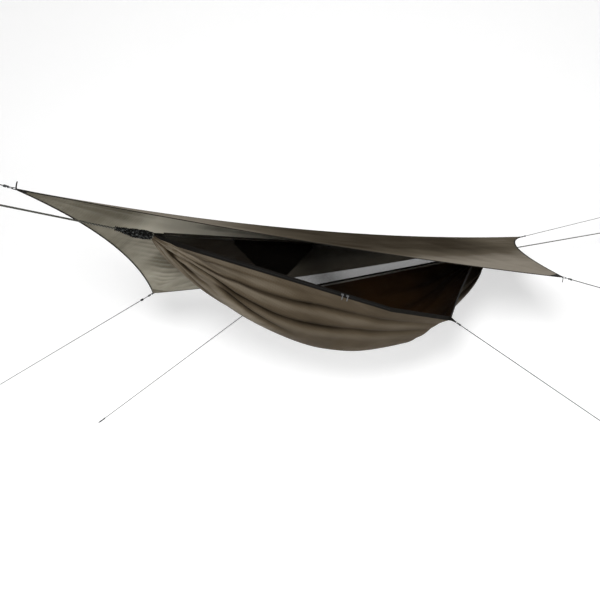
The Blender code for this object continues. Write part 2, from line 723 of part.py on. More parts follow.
def make_pouch():
    """A three-cornered pocket, open at the top, whose back runs up to a channel on the line."""
    middle = vec(-POUCH_FROM_MIDDLE, 0, 0)
    across = vec(0, 1, 0)
    half = POUCH_WIDTH / 2
    tip = -POUCH_TOP_DROP - POUCH_DEPTH
    outline = [(-half, -POUCH_TOP_DROP), (0, tip), (half, -POUCH_TOP_DROP)]
    pouch = prism("ridge_pouch", outline, middle, ALONG, UP, across, POUCH_THICKNESS, POUCH_CLOTH)
    slope = POUCH_DEPTH / half
    inset = POUCH_WALL * math.sqrt(1 + slope**2)
    mouth = POUCH_WALL * 2 - POUCH_TOP_DROP
    inner_half = (mouth - tip - inset) / slope
    inner = [(-inner_half, mouth), (0, tip + inset), (inner_half, mouth)]
    pocket = prism(
        "pouch_pocket", inner, middle, ALONG, UP, across, POUCH_THICKNESS - 2 * POUCH_WALL, POUCH_CLOTH
    )
    start = middle - ALONG * half
    profile = [(0, POUCH_CHANNEL_RADIUS), (POUCH_WIDTH, POUCH_CHANNEL_RADIUS)]
    channel = turned("pouch_channel", start, ALONG, profile, POUCH_CLOTH, sides=10)
    back_top = -POUCH_CHANNEL_RADIUS / 2 - POUCH_CHANNEL_BORE / 2
    back_height = back_top + POUCH_TOP_DROP + POUCH_WALL
    back_y = POUCH_THICKNESS / 2 - POUCH_WALL / 2
    corners = pouch_back_points(middle, half, back_top, back_height, back_y)
    back = hull("pouch_back", corners, POUCH_CLOTH)
    cut_and_join(pouch, cutters=[pocket])
    cut_and_join(pouch, joined=[back, channel])
    line_cut = [(-POUCH_WALL, POUCH_CHANNEL_BORE), (POUCH_WIDTH + POUCH_WALL, POUCH_CHANNEL_BORE)]
    cutter = turned("pouch_bore", start, ALONG, line_cut, POUCH_CLOTH, sides=10)
    cut_and_join(pouch, cutters=[cutter])
    move_origin(pouch, middle)
    for name, side in (("left", -1), ("right", 1)):
        from_middle = half + SEAT_GAP + (CLIP_LENGTH if side < 0 else 0)
        begin = middle + ALONG * side * from_middle
        profile = [(0, CLIP_RADIUS), (CLIP_LENGTH, CLIP_RADIUS)]
        bore = RIDGE_LINE_DIAMETER / 2 + SLIDE_GAP
        turned(f"pouch_clip_{name}", begin, ALONG, profile, HOOK_PLASTIC, 10, middle, bore)


def pouch_back_points(middle, half, top, height, back_y):
    """Corners of the sheet that joins the pocket's back to its channel."""
    points = []
    for side in (-1, 1):
        for face in (-POUCH_WALL / 2, POUCH_WALL / 2):
            points.append(middle + ALONG * side * (half - POUCH_WALL) + vec(0, face, top))
            low = vec(0, back_y + face, top - height)
            points.append(middle + ALONG * side * (half - height) + low)
    return points


def make_hook(name, from_middle):
    """A small open hook with a ring that slides on the ridge line."""
    centre = vec(-from_middle, 0, 0)
    start = centre - ALONG * HOOK_RING_LENGTH / 2
    profile = [(0, HOOK_RING_RADIUS), (HOOK_RING_LENGTH, HOOK_RING_RADIUS)]
    bore = RIDGE_LINE_DIAMETER / 2 + SLIDE_GAP
    ring = turned(name, start, ALONG, profile, HOOK_PLASTIC, 12, bore=bore)
    bottom = -HOOK_RING_RADIUS + HOOK_WIRE_RADIUS / 2
    straight = [vec(0, 0, bottom), vec(0, 0, -HOOK_DROP + HOOK_CURL_RADIUS)]
    turns = np.radians(np.linspace(20, 220, 9))
    curl = [
        vec(0, HOOK_CURL_RADIUS * (1 - math.cos(a)), -HOOK_DROP + HOOK_CURL_RADIUS * (1 - math.sin(a)))
        for a in turns
    ]
    rings = wire([centre + p for p in straight + curl], HOOK_WIRE_RADIUS, 8, ALONG)
    points, faces = rings_to_solid(rings)
    stem = mesh_object(name + "_stem", points, faces, HOOK_PLASTIC, smooth_deg=50)
    cut_and_join(ring, joined=[stem])
    move_origin(ring, centre)


# Rain fly
FLY_LEFT = vec(-FLY_RIDGE_HALF_LENGTH, 0, FLY_RIDGE_RISE)
FLY_RIGHT = vec(FLY_RIDGE_HALF_LENGTH, 0, FLY_RIDGE_RISE)
FLY_NEAR = vec(FLY_NEAR_ALONG, -FLY_NEAR_OUT, -FLY_NEAR_DROP)
FLY_FAR = vec(-FLY_FAR_ALONG, FLY_FAR_OUT, -FLY_FAR_DROP)
RIDGE_SAG = vec(-FLY_RIDGE_SAG_SHIFT, 0, -FLY_RIDGE_SAG)


def hollow(a, b, third, depth):
    """The bow of an edge from a to b, drawn in towards the third corner."""
    way = unit(b - a)
    inward = (third - a) - np.dot(third - a, way) * way
    return depth * unit(inward)


NEAR_EDGE_BOW = hollow(FLY_RIGHT, FLY_NEAR, FLY_LEFT, FLY_EDGE_HOLLOW_NEAR)
FAR_EDGE_BOW = hollow(FLY_LEFT, FLY_FAR, FLY_RIGHT, FLY_EDGE_HOLLOW_FAR)
PANELS = {
    "near": (FLY_NEAR, -FLY_HEM_SAG_NEAR * UP, NEAR_EDGE_BOW),
    "far": (FLY_FAR, FAR_EDGE_BOW, -FLY_HEM_SAG_FAR * UP),
}
FLY_WAYS = {
    "left": rising(-1, FLY_CORD_LEFT_RISE_DEG),
    "right": rising(1, FLY_CORD_RIGHT_RISE_DEG),
    "near": unit(FLY_GUY_NEAR_SHARES),
    "far": unit(FLY_GUY_FAR_SHARES),
}
FLY_CORNERS = {"left": FLY_LEFT, "right": FLY_RIGHT, "near": FLY_NEAR, "far": FLY_FAR}
FLY_EDGES = {
    "fly_ridge_seam": ("left", "right", RIDGE_SAG, SEAM_RADIUS),
    "fly_hem_near": ("left", "near", PANELS["near"][1], BINDING_RADIUS),
    "fly_edge_near": ("right", "near", PANELS["near"][2], BINDING_RADIUS),
    "fly_edge_far": ("left", "far", PANELS["far"][1], BINDING_RADIUS),
    "fly_hem_far": ("right", "far", PANELS["far"][2], BINDING_RADIUS),
}


def edge_point(edge, t):
    a, b, sag, _ = FLY_EDGES[edge]
    t = np.asarray(t, float)[:, None]
    return FLY_CORNERS[a] * (1 - t) + FLY_CORNERS[b] * t + 4 * t * (1 - t) * sag


def corner_way(corner):
    """The direction from a corner into the fly, midway between its outermost edges."""
    ways = []
    for a, b, _, _ in FLY_EDGES.values():
        if corner in (a, b):
            other = FLY_CORNERS[b if corner == a else a]
            ways.append(unit(other - FLY_CORNERS[corner]))
    return unit(sum(ways))


CORNER_WAYS = {corner: corner_way(corner) for corner in FLY_CORNERS}


def past_corner(points, corner):
    """How far points lie past the inner face of a corner piece."""
    return (points - FLY_CORNERS[corner]) @ CORNER_WAYS[corner] - CORNER_LENGTH


def make_edge(edge):
    """A round binding or seam along an edge, from one corner piece to the other."""
    a, b, _, radius = FLY_EDGES[edge]
    ends = []
    for corner, far_end in ((a, 0), (b, 1)):
        t = np.abs(far_end - np.linspace(0, 0.2, 201))
        points = edge_point(edge, t)
        ways = np.gradient(points, axis=0)
        ways /= np.linalg.norm(ways, axis=1)[:, None]
        slant = np.sqrt(np.clip(1 - (ways @ CORNER_WAYS[corner]) ** 2, 0, 1))
        ends.append(np.interp(SEAT_GAP, past_corner(points, corner) - radius * slant, t))
    first, last = ends
    rows = np.arange(1, FLY_ROWS) / FLY_ROWS
    path = edge_point(edge, np.concatenate([[first], rows[(rows > first) & (rows < last)], [last]]))
    points, faces = rings_to_solid(wire(path, radius, 6, UP))
    mesh_object(edge, points, faces, BINDING, smooth_deg=70)


def panel_point(side, shares):
    """A point of one half of the fly, a quadratic Bezier triangle, at its three corner shares."""
    corner, left_sag, right_sag = PANELS[side]
    a, d, c = shares
    flat = a * FLY_LEFT + d * FLY_RIGHT + c * corner
    return flat + 4 * (a * d * RIDGE_SAG + a * c * left_sag + d * c * right_sag)


def inset_share(side, k, t):
    """The share of corner k that lies one binding's reach inside the edge opposite it."""
    def at(share_k, along):
        shares = np.zeros(3)
        shares[k] = share_k
        shares[(k + 1) % 3] = (1 - share_k) * (1 - along)
        shares[(k + 2) % 3] = (1 - share_k) * along
        return panel_point(side, shares)

    step = 0.001
    tangent = unit(at(0, t + step) - at(0, t - step))
    rate = np.linalg.norm(np.cross(at(step, t) - at(0, t), tangent)) / step
    radius = SEAM_RADIUS if k == 2 else BINDING_RADIUS
    return (radius + BINDING_GAP) / rate


def make_panel(side):
    """One half of the fly, trimmed back from its edges and its corner pieces."""
    points, index = [], {}
    for i in range(FLY_ROWS + 1):
        for j in range(FLY_ROWS + 1 - i):
            shares = np.array((FLY_ROWS - i - j, j, i)) / FLY_ROWS
            insets = []
            for k in range(3):
                first, second = shares[(k + 1) % 3], shares[(k + 2) % 3]
                whole = first + second
                insets.append(inset_share(side, k, second / whole if whole else 0.5))
            index[i, j] = len(points)
            points.append(panel_point(side, np.array(insets) + (1 - sum(insets)) * shares))
    faces = []
    for i in range(FLY_ROWS):
        for j in range(FLY_ROWS - i):
            faces.append((index[i, j], index[i, j + 1], index[i + 1, j]))
            if i + j + 1 < FLY_ROWS:
                faces.append((index[i, j + 1], index[i + 1, j + 1], index[i + 1, j]))
    surface = FLY_TOP if side == "near" else FLY_UNDER
    panel = mesh_object(f"fly_{side}_panel", points, faces, surface, outward=False)
    sheet = bmesh.new()
    sheet.from_mesh(panel.data)
    for name in ("left", "right", side):
        way = CORNER_WAYS[name]
        face = FLY_CORNERS[name] + (CORNER_LENGTH + SEAT_GAP + FLY_THICKNESS / 8) * way
        geometry = sheet.verts[:] + sheet.edges[:] + sheet.faces[:]
        bmesh.ops.bisect_plane(sheet, geom=geometry, plane_co=face, plane_no=way, clear_inner=True)
    sheet.to_mesh(panel.data)
    sheet.free()
    panel.data.shade_smooth()
    thicken(panel, FLY_THICKNESS)


def make_corner(corner):
    """A reinforced corner, its webbing loop and the tail of webbing that two corners have."""
    place, inward, way = FLY_CORNERS[corner], CORNER_WAYS[corner], FLY_WAYS[corner]
    side, other = square_to(way)
    face_side, face_other = square_to(inward)
    points = []
    for edge, (a, b, _, radius) in FLY_EDGES.items():
        if corner not in (a, b):
            continue
        t = np.linspace(0, 1, 2001)
        path = edge_point(edge, t)
        crossing = path[np.argmin(np.abs(past_corner(path, corner)))]
        crossing = crossing - np.dot(crossing - place, inward) * inward + CORNER_LENGTH * inward
        reach = radius + CORNER_MARGIN
        for p in (-reach, reach):
            points.append(crossing + p * face_side)
            points.append(crossing + p * face_other)
    for p in (-CORNER_NOSE_WIDTH / 2, CORNER_NOSE_WIDTH / 2):
        for q in (-CORNER_NOSE_HEIGHT / 2, CORNER_NOSE_HEIGHT / 2):
            points.append(place + p * side + q * other)
    patch = hull(f"fly_corner_{corner}", points, WEBBING)
    joined = [webbing_loop(f"fly_loop_{corner}", place, way, side, other)]
    if corner in ("left", "near"):
        sign = 1 if corner == "left" else -1
        middle = place + inward * TAIL_WIDTH / 2 + UP * sign * TAIL_LENGTH / 2
        sizes = (TAIL_WIDTH, TAIL_THICKNESS, TAIL_LENGTH)
        level = unit((inward[0], inward[1], 0))
        across = np.cross(UP, level)
        joined.append(block(f"fly_tail_{corner}", middle, level, across, UP, sizes, WEBBING))
    cut_and_join(patch, joined=joined)


def make_ring(corner):
    """A steel ring through the corner's loop. Returns where the cord meets it."""
    place, way = FLY_CORNERS[corner], FLY_WAYS[corner]
    side, _ = square_to(way)
    wire_at = TAB_LENGTH - TAB_WALL - RING_SEAT_GAP - RING_WIRE_RADIUS
    centre = place + (wire_at + RING_RADIUS) * way
    path = circle(centre, way, side, RING_RADIUS, 20)
    normal = np.cross(way, side)
    points, faces = rings_to_solid(wire(path, RING_WIRE_RADIUS, 8, normal, closed=True), closed=True)
    mesh_object(f"fly_ring_{corner}", points, faces, STEEL, smooth_deg=60)
    return centre + (RING_RADIUS + RING_WIRE_RADIUS + SEAT_GAP) * way


def make_fly():
    for side in PANELS:
        make_panel(side)
    for edge in FLY_EDGES:
        make_edge(edge)
    cords = {
        "left": ("fly_cord_left", FLY_CORD_LEFT_LENGTH),
        "right": ("fly_cord_right", FLY_CORD_RIGHT_LENGTH),
        "near": ("fly_guy_near", FLY_GUY_NEAR_LENGTH),
        "far": ("fly_guy_far", FLY_GUY_FAR_LENGTH),
    }
    for corner, (name, length) in cords.items():
        make_corner(corner)
        start = make_ring(corner)
        ended_cord(name, start, FLY_WAYS[corner], length, GUY_DIAMETER, CORD)
        if corner == "far":
            make_adjuster(start, FLY_WAYS[corner])


def make_adjuster(start, way):
    """A small line adjuster that grips the far guy line."""
    begin = start + ADJUSTER_FROM_RING * way
    shares = ((0.0, 0.6), (0.12, 0.85), (0.5, 1.0), (0.88, 0.85), (1.0, 0.6))
    profile = [(a * ADJUSTER_LENGTH, r * ADJUSTER_RADIUS) for a, r in shares]
    bore = GUY_DIAMETER / 2 + SLIDE_GAP
    turned("guy_adjuster", begin, way, profile, HOOK_PLASTIC, 12, begin, bore)


# Ropes, sleeves and side guy lines
def make_sleeve(name, start, way):
    """A mesh sleeve pushed up into ripples on the main rope."""
    bore = MAIN_ROPE_DIAMETER / 2 + SLIDE_GAP
    profile = []
    for t in np.linspace(0, 1, 4 * SLEEVE_RIPPLES + 1):
        full = SLEEVE_RADIUS * math.sin(math.pi * (0.12 + 0.76 * t)) ** 0.6
        radius = full + SLEEVE_RIPPLE * math.cos(2 * math.pi * SLEEVE_RIPPLES * t)
        profile.append((t * SLEEVE_LENGTH, radius))
    begin = start + SLEEVE_START * way
    turned(name, begin, way, profile, SLEEVE_MESH, 12, begin, bore)


def make_ropes():
    tilt = MAIN_ROPE_DIAMETER / 2 * math.sin(math.radians(MAIN_ROPE_RISE_DEG)) + SEAT_GAP
    ropes = (
        ("left", MAIN_LEFT_START, MAIN_LEFT_WAY, MAIN_ROPE_LEFT_LENGTH),
        ("right", MAIN_RIGHT_START, MAIN_RIGHT_WAY, MAIN_ROPE_RIGHT_LENGTH),
    )
    for name, start, way, length in ropes:
        begin = start + tilt * way
        ended_cord(f"main_rope_{name}", begin, way, length - tilt, MAIN_ROPE_DIAMETER, ROPE)
        make_sleeve(f"mesh_sleeve_{name}", start, way)


def make_side_guys():
    guys = (
        ("near", near_rim, NEAR_CORNER, NEAR_GUY_WAY, GUY_NEAR_LENGTH),
        ("far", far_rim, FAR_CORNER, FAR_GUY_WAY, GUY_FAR_LENGTH),
    )
    for name, rim, corner, way, length in guys:
        make_tie_out(f"tie_out_{name}", rim, corner, way)
        start = corner + (TIE_PATCH_LENGTH + TAB_LENGTH + SEAT_GAP) * way
        ended_cord(f"side_guy_{name}", start, way, length, GUY_DIAMETER, CORD)


make_fly()
make_body()
make_net("net_near", near_rim, -1)
make_net("net_far", far_rim, 1)
make_tape("edge_tape_near", near_rim)
make_tape("edge_tape_far", far_rim)
make_bundle("end_bundle_left", -1)
make_bundle("end_bundle_right", 1)
make_zip()
make_ridge_line()
make_pouch()
for hook_name, hook_place in zip(("ridge_hook_left", "ridge_hook_right"), HOOKS_FROM_MIDDLE):
    make_hook(hook_name, hook_place)
make_ropes()
make_side_guys()

print("origin to ridge-line middle", [round(float(v), 4) for v in -ANCHOR])
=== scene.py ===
# %% [markdown]
# # A hammock tent in Blender
# This tent hangs between two trees. A bed of thin nylon is gathered at both ends and tied to a
# rope, an insect net closes it from above, and a rain fly, pulled out at four corners, hangs over
# it on lines of its own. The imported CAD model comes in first. It is a fixed frame that gives every
# place and every moving part, and the cells below dress it with finer shapes and real finishes.

# %% Load the frame
import bpy
import numpy as np
from mathutils import Matrix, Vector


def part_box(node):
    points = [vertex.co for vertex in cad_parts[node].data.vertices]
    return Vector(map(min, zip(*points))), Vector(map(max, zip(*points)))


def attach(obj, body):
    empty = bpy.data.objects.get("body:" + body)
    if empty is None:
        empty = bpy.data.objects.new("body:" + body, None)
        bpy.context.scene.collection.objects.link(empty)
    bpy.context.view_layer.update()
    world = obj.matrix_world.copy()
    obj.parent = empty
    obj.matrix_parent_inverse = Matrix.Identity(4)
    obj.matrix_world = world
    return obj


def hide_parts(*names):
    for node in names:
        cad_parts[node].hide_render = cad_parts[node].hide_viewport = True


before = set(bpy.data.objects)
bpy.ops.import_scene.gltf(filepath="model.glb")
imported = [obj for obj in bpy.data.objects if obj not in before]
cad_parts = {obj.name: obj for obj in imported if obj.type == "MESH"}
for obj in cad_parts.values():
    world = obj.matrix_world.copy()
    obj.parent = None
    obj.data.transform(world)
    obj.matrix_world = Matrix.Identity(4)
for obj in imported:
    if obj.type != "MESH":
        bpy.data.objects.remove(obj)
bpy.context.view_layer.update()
scene = bpy.context.scene
scene.view_settings.view_transform = "Standard"

# %% [markdown]
# ## One origin for the maker
# A hammock maker measures everything from the middle of the ridge line, the cord inside the tent
# that sets how deep the bed hangs. The frame has its origin at the left tree, so each shape is
# worked out from the ridge line's middle and moved by one vector as it goes into its mesh. That
# vector is read off the frame's own ridge line.

# %% Origin, directions and small vector helpers
RIDGE_MIDDLE = np.round(np.mean(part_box("ridge_line"), axis=0), 5)
ALONG = np.array((1.0, 0.0, 0.0))
UP = np.array((0.0, 0.0, 1.0))
LEVEL = np.array((1.0, 1.0, 0.0))


def point(x, y, z):
    """A place or a way as an array of its three numbers."""
    return np.array((x, y, z), float)


def unit(vectors):
    """Each vector divided by its own length."""
    vectors = np.asarray(vectors, float)
    return vectors / np.linalg.norm(vectors, axis=-1, keepdims=True)


def square_to(way, hint=UP):
    """Two directions square to a way: one level across it, and one square to both."""
    side = unit(np.cross(hint, way))
    return side, np.cross(way, side)


def stood_at(place, side, other, back):
    """The matrix of something that stands at a place, with its three own directions as columns."""
    matrix = np.eye(4)
    matrix[:3] = np.stack([side, other, back, place + RIDGE_MIDDLE], 1)
    return Matrix(matrix.tolist())


def rising(sign, degrees):
    """A direction along the ridge line that climbs by some degrees."""
    slope = np.radians(degrees)
    return point(sign * np.cos(slope), 0, np.sin(slope))


print("maker's origin in the frame:", RIDGE_MIDDLE)

# %% [markdown]
# ## The camera
# The photograph looks at the tent from its near left side, from just under the ridge line. The
# camera's place and turn were found by matching the straight lines and corners of the tent to
# the picture. A camera matrix has the directions right, up and backwards as its columns.

# %% Camera
CAMERA_PLACE = point(-3.253, -3.051, -0.280)
YAW, PITCH, ROLL = -0.743, -0.014, -0.005
FOCAL_PIXELS, PICTURE_PIXELS, SENSOR_MM = 689.3, 600, 36

forward = point(-np.sin(YAW) * np.cos(PITCH), np.cos(YAW) * np.cos(PITCH), np.sin(PITCH))
level_right = point(np.cos(YAW), np.sin(YAW), 0)
level_up = np.cross(level_right, forward)
right = level_right * np.cos(ROLL) + level_up * np.sin(ROLL)
upward = level_up * np.cos(ROLL) - level_right * np.sin(ROLL)

camera = bpy.data.objects.new("camera", bpy.data.cameras.new("camera"))
camera.data.sensor_width = SENSOR_MM
camera.data.lens = SENSOR_MM * FOCAL_PIXELS / PICTURE_PIXELS
camera.matrix_world = stood_at(CAMERA_PLACE, right, upward, -forward)
scene.collection.objects.link(camera)
scene.camera = camera
print("lens in mm:", round(camera.data.lens, 2))

# %% [markdown]
# ## From numbers to faces
# Every new piece is a grid of points that a formula places, row by row. A grid can be open, like
# a sheet, closed round, like a tube, or closed both ways, like a ring. UV values are in metres, so
# a weave has the same size on every piece. A shape here is three things: the points, the groups of
# faces, and the UV pairs of each face's corners.

# %% Grids and joined shapes
def grid(points, uv, closed=False, capped=False, ring=False):
    """Joins each point of a grid to its neighbours in the next row and column as four-sided faces.
    Caps close the first and last row of a tube. In a ring the last row is the first one again."""
    rows, columns = points.shape[:2]
    i, j = np.meshgrid(np.arange(rows - 1), np.arange(columns - (not closed)), indexing="ij")
    i, j = i.ravel(), j.ravel()
    corners = ((i, j), (i, j + 1), (i + 1, j + 1), (i + 1, j))
    faces = [np.stack([a * columns + b % columns for a, b in corners], 1)]
    uvs = [np.stack([uv[a, b] for a, b in corners], 1)]
    if capped:
        turn = np.arange(columns)
        faces.append(np.stack([turn[::-1], turn + (rows - 1) * columns]))
        uvs.append(np.stack([uv[0, :columns][::-1], uv[-1, :columns]]))
    if ring:
        faces = [group % ((rows - 1) * columns) for group in faces]
        points = points[:-1]
    return points.reshape(-1, 3), faces, uvs


def joined(*shapes):
    """Several shapes as one, with each one's faces counted on from the points before it."""
    points, faces, uvs, count = [], [], [], 0
    for shape_points, shape_faces, shape_uvs in shapes:
        points.append(shape_points)
        faces += [group + count for group in shape_faces]
        uvs += shape_uvs
        count += len(shape_points)
    return np.concatenate(points), faces, uvs


print("faces of a 3 by 3 grid:", len(grid(np.zeros((3, 3, 3)), np.zeros((3, 3, 2)))[1][0]))

# %% [markdown]
# ## A profile along a path
# Cords, tapes, rings and seams are all one outline that is carried along a line. Blender's curves
# can do that with a bevel. Here it is one sum over whole arrays, because the same function then
# gives a UV map in metres and lets the outline shrink on its way.

# %% Swept profiles
def lengths_along(path):
    """The distance along a path at each of its points."""
    return np.concatenate([[0], np.cumsum(np.linalg.norm(np.diff(path, axis=0), axis=1))])


def swept(path, profile, hint=UP, ring=False):
    """Carries a closed profile along a path. At each path point the profile's two numbers go along
    the directions square to the path. A ring joins its end to its start, and other paths are capped."""
    path = np.asarray(path, float)
    ways = np.roll(path, -1, 0) - np.roll(path, 1, 0) if ring else np.gradient(path, axis=0)
    side, other = square_to(unit(ways), hint)
    profile = np.broadcast_to(profile, (len(path),) + np.shape(profile)[-2:])
    points = path[:, None] + profile[..., :1] * side[:, None] + profile[..., 1:] * other[:, None]
    if ring:
        points = np.concatenate([points, points[:1]])
        path = np.concatenate([path, path[:1]])
    outline = np.concatenate([profile[0], profile[0][:1]])
    uv = np.stack(np.meshgrid(lengths_along(outline), lengths_along(path)), -1)
    return grid(points, uv, closed=True, capped=not ring, ring=ring)


def once_round(sides):
    """Angles of a full turn in equal steps, without the last one, which is the first again."""
    return np.arange(sides) * 2 * np.pi / sides


def circle(radius, sides=12):
    """A circle as a closed profile, counted anticlockwise."""
    turn = once_round(sides)
    return radius * np.stack([np.cos(turn), np.sin(turn)], 1)


def helix(start, way, climb, radius, turn):
    """A line that winds round a straight way: at each angle it has climbed some way along, and
    stands off by the radius towards that angle."""
    side, other = square_to(way)
    around = np.cos(turn)[:, None] * side + np.sin(turn)[:, None] * other
    return start + climb[:, None] * way + radius * around


print("way round a circle of 1 m, in 12 steps:", round(float(lengths_along(circle(1))[-1]), 2))

# %% [markdown]
# ## A piece of the tent
# A piece is a mesh with its finish that rides on one body of the frame. Its shade is a number at
# each point, kept as an attribute, that tells the cloth materials where to paint a highlight, as on a
# crest, and where to paint shade, as in a fold. The nets read it as extra cover instead. Thin cloth
# gets its thickness from Solidify, half to each side.

# %% Pieces
# Faces that meet at a wider angle than this keep a crisp edge
SHARP_DEGREES = 50


def make_piece(name, shape, finish, body="hammock", replaces=(), wall=0, shade=0):
    """Puts a shape into a mesh with its finish, and lets the piece ride on a body of the frame. With
    a wall and two finishes, the second one is the back's. Shade is above zero for a painted highlight,
    as on a crest, and below it for painted shade, as in a fold."""
    points, faces, uvs = shape
    data = bpy.data.meshes.new(name)
    data.from_pydata((points + RIDGE_MIDDLE).tolist(), [], [f for group in faces for f in group.tolist()])
    corners = np.concatenate([group.reshape(-1, 2) for group in uvs])
    data.uv_layers.new(name="UVMap").data.foreach_set("uv", corners.astype(np.float32).ravel())
    for surface in np.atleast_1d(finish):
        data.materials.append(surface)
    tone = np.broadcast_to(np.ravel(shade), len(points)).astype(np.float32)
    data.attributes.new("shade", "FLOAT", "POINT").data.foreach_set("value", tone)
    data.polygons.foreach_set("use_smooth", np.ones(len(data.polygons), bool))
    data.set_sharp_from_angle(angle=np.radians(SHARP_DEGREES))
    piece = bpy.data.objects.new(name, data)
    scene.collection.objects.link(piece)
    if wall:
        cloth = piece.modifiers.new("thickness of the cloth", "SOLIDIFY")
        cloth.thickness = wall
        cloth.offset = 0
        cloth.material_offset = len(data.materials) - 1
    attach(piece, body)
    if replaces:
        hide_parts(replaces)
    return piece


# %% [markdown]
# ## Nodes without clutter
# One function adds a node, sets its properties and fills or links its sockets. Colours are noted
# as they look on a screen, in sRGB hex, and one function turns them into the linear values that
# Blender computes with.

# %% Colour and node helpers
def linear(code):
    """An sRGB hex colour as linear red, green, blue and full alpha."""
    value = np.array([int(code[i : i + 2], 16) for i in (0, 2, 4)]) / 255
    value = np.where(value <= 0.04045, value / 12.92, ((value + 0.055) / 1.055) ** 2.4)
    return (*value.tolist(), 1.0)


def add(tree, kind, sockets=None, **settings):
    """Adds a node. Sockets hold plain values, or a node or output to link, where a node stands for
    its first output. Settings are the node's own properties."""
    made = tree.nodes.new("ShaderNode" + kind)
    for key, value in settings.items():
        setattr(made, key, value)
    for key, value in (sockets or {}).items():
        if isinstance(value, bpy.types.Node):
            value = value.outputs[0]
        if isinstance(value, bpy.types.NodeSocket):
            tree.links.new(value, made.inputs[key])
        else:
            made.inputs[key].default_value = value
    return made


def new_finish(name, **sockets):
    """A material with one Principled shader. Values that are the same all over go on its own sockets."""
    made = bpy.data.materials.new(name)
    made.use_nodes = True
    shader = made.node_tree.nodes["Principled BSDF"]
    for key, value in sockets.items():
        shader.inputs[key.replace("_", " ").title().replace("Ior", "IOR")].default_value = value
    return made, made.node_tree, shader


def per_metre(millimetres):
    """The scale of a wave texture whose bands are that far apart, where UV is in metres. The texture
    multiplies the place by 20 before it takes the sine."""
    return 2 * np.pi / 20 / (millimetres / 1000)


def crossed_bands(tree, uv, spacing_mm):
    """Bands slanted both ways, multiplied: high where a band of each set comes up, as in a braid."""
    bands = []
    for slant in (45, -45):
        turned = add(tree, "Mapping", {"Vector": uv, "Rotation": (0, 0, np.radians(slant))})
        band = add(tree, "TexWave", {"Vector": turned, "Scale": per_metre(spacing_mm)})
        bands.append(band.outputs["Fac"])
    return add(tree, "Math", {0: bands[0], 1: bands[1]}, operation="MULTIPLY")


print("middle grey in linear values:", [round(value, 3) for value in linear("808080")])

# %% [markdown]
# ## Braided cord
# Ropes and guy lines are braided polyester: strands cross each other in two directions and leave
# small diamonds. The braid of a 5 mm line is finer than a pixel, so it is drawn about three times
# coarser, and follows the tube by its UV values. Two slanted sets of bands, one for each strand
# direction, are multiplied, and the product drives colour and bump.

# %% Finish: braided polyester cord
def braided_cord(name, colour, fleck, strand_mm):
    """Polyester cord, drawn and braided: dull, a little fuzzy, lighter where a strand comes up."""
    finish, tree, shader = new_finish(name, roughness=0.78, sheen_weight=0.05, sheen_roughness=0.5)
    uv = add(tree, "TexCoord").outputs["UV"]
    both = crossed_bands(tree, uv, strand_mm)
    mixed = add(tree, "Mix", {0: both, 6: linear(colour), 7: linear(fleck)}, data_type="RGBA")
    bump = add(tree, "Bump", {"Height": both, "Strength": 0.6, "Distance": strand_mm / 4000})
    tree.links.new(mixed.outputs[2], shader.inputs["Base Color"])
    tree.links.new(bump.outputs[0], shader.inputs["Normal"])
    return finish


# Thin dark line with grey flecks: from afar it reads as one fine grey stroke
GUY_FINISH = braided_cord("braided polyester guy line", "1c1d1e", "66686a", 4)
# Thick rope in two tones, dark with straw flecks, whose diamonds can be told apart
ROPE_FINISH = braided_cord("braided polyester rope", "12130e", "7e7d70", 11)
print("cord finishes:", GUY_FINISH.name, ROPE_FINISH.name)

# %% [markdown]
# ## Eight lines to the trees and pegs
# The cords come first, because they decide how far the object reaches. Each one is taut, so it
# is a straight tube from its exit to the peg or tree, and it ends in a tied eye: three wraps of
# the cord, drawn as a helix, and a loop. The main ropes are 9 mm thick and the guy lines 5 mm.

# %% Where each line starts, the way it runs and its length
ROPE, GUY = 0.009, 0.005
CORDS = {
    "main_rope_left": (point(-1.48088, 0, 0.00011), rising(-1, 7.35), 0.7541, ROPE),
    "main_rope_right": (point(1.48088, 0, 0.00011), rising(1, 7.35), 2.1941, ROPE),
    "fly_cord_left": (point(-2.16313, 0, 0.17414), rising(-1, 10.5), 0.060, GUY),
    "fly_cord_right": (point(2.16319, 0, 0.17385), rising(1, 10.0), 1.510, GUY),
    "fly_guy_near": (point(0.85363, -1.03899, -0.21804), unit((0.256, -0.920, -0.298)), 0.215, GUY),
    "fly_guy_far": (point(-0.85902, 1.04489, -0.30635), unit((-0.238, 0.887, -0.396)), 1.850, GUY),
    "side_guy_near": (point(0.33768, -0.58364, -0.49126), unit((0.410, -0.714, -0.568)), 1.020, GUY),
    "side_guy_far": (point(-0.24666, 0.58662, -0.34429), unit((-0.409, 0.713, -0.570)), 1.535, GUY),
}
KNOT_LENGTH_SHARE, KNOT_WRAPS, WRAP_RADIUS_SHARE = 3.2, 3, 0.85
LOOP_LENGTH_SHARE, LOOP_WIDTH_SHARE, KNOT_CORE_SHARE = 10.0, 5.0, 0.45
SEAT = 0.0003


def tied_eye(end, way, diameter):
    """A helix of three wraps round the cord, then a closed loop: an ellipse in the upright plane."""
    side, other = square_to(way)
    wraps = np.linspace(0, 1, 49)
    climb = SEAT + diameter / 2 + wraps * (KNOT_LENGTH_SHARE - 1) * diameter
    wrapped = helix(end, way, climb, WRAP_RADIUS_SHARE * diameter, wraps * KNOT_WRAPS * 2 * np.pi)
    length, width = LOOP_LENGTH_SHARE * diameter / 2, LOOP_WIDTH_SHARE * diameter / 2
    centre = end + (SEAT + KNOT_LENGTH_SHARE * diameter + length - diameter / 2) * way
    turn = once_round(40)
    loop = centre + length * np.cos(turn)[:, None] * way + width * np.sin(turn)[:, None] * side
    core = end + np.linspace(SEAT, (KNOT_LENGTH_SHARE + 1) * diameter, 5)[:, None] * way
    strand = circle(diameter / 2, 8)
    return joined(
        swept(wrapped, strand, hint=way),
        swept(loop, strand, hint=other, ring=True),
        swept(core, circle(KNOT_CORE_SHARE * diameter, 8)))


print("lines:", len(CORDS))
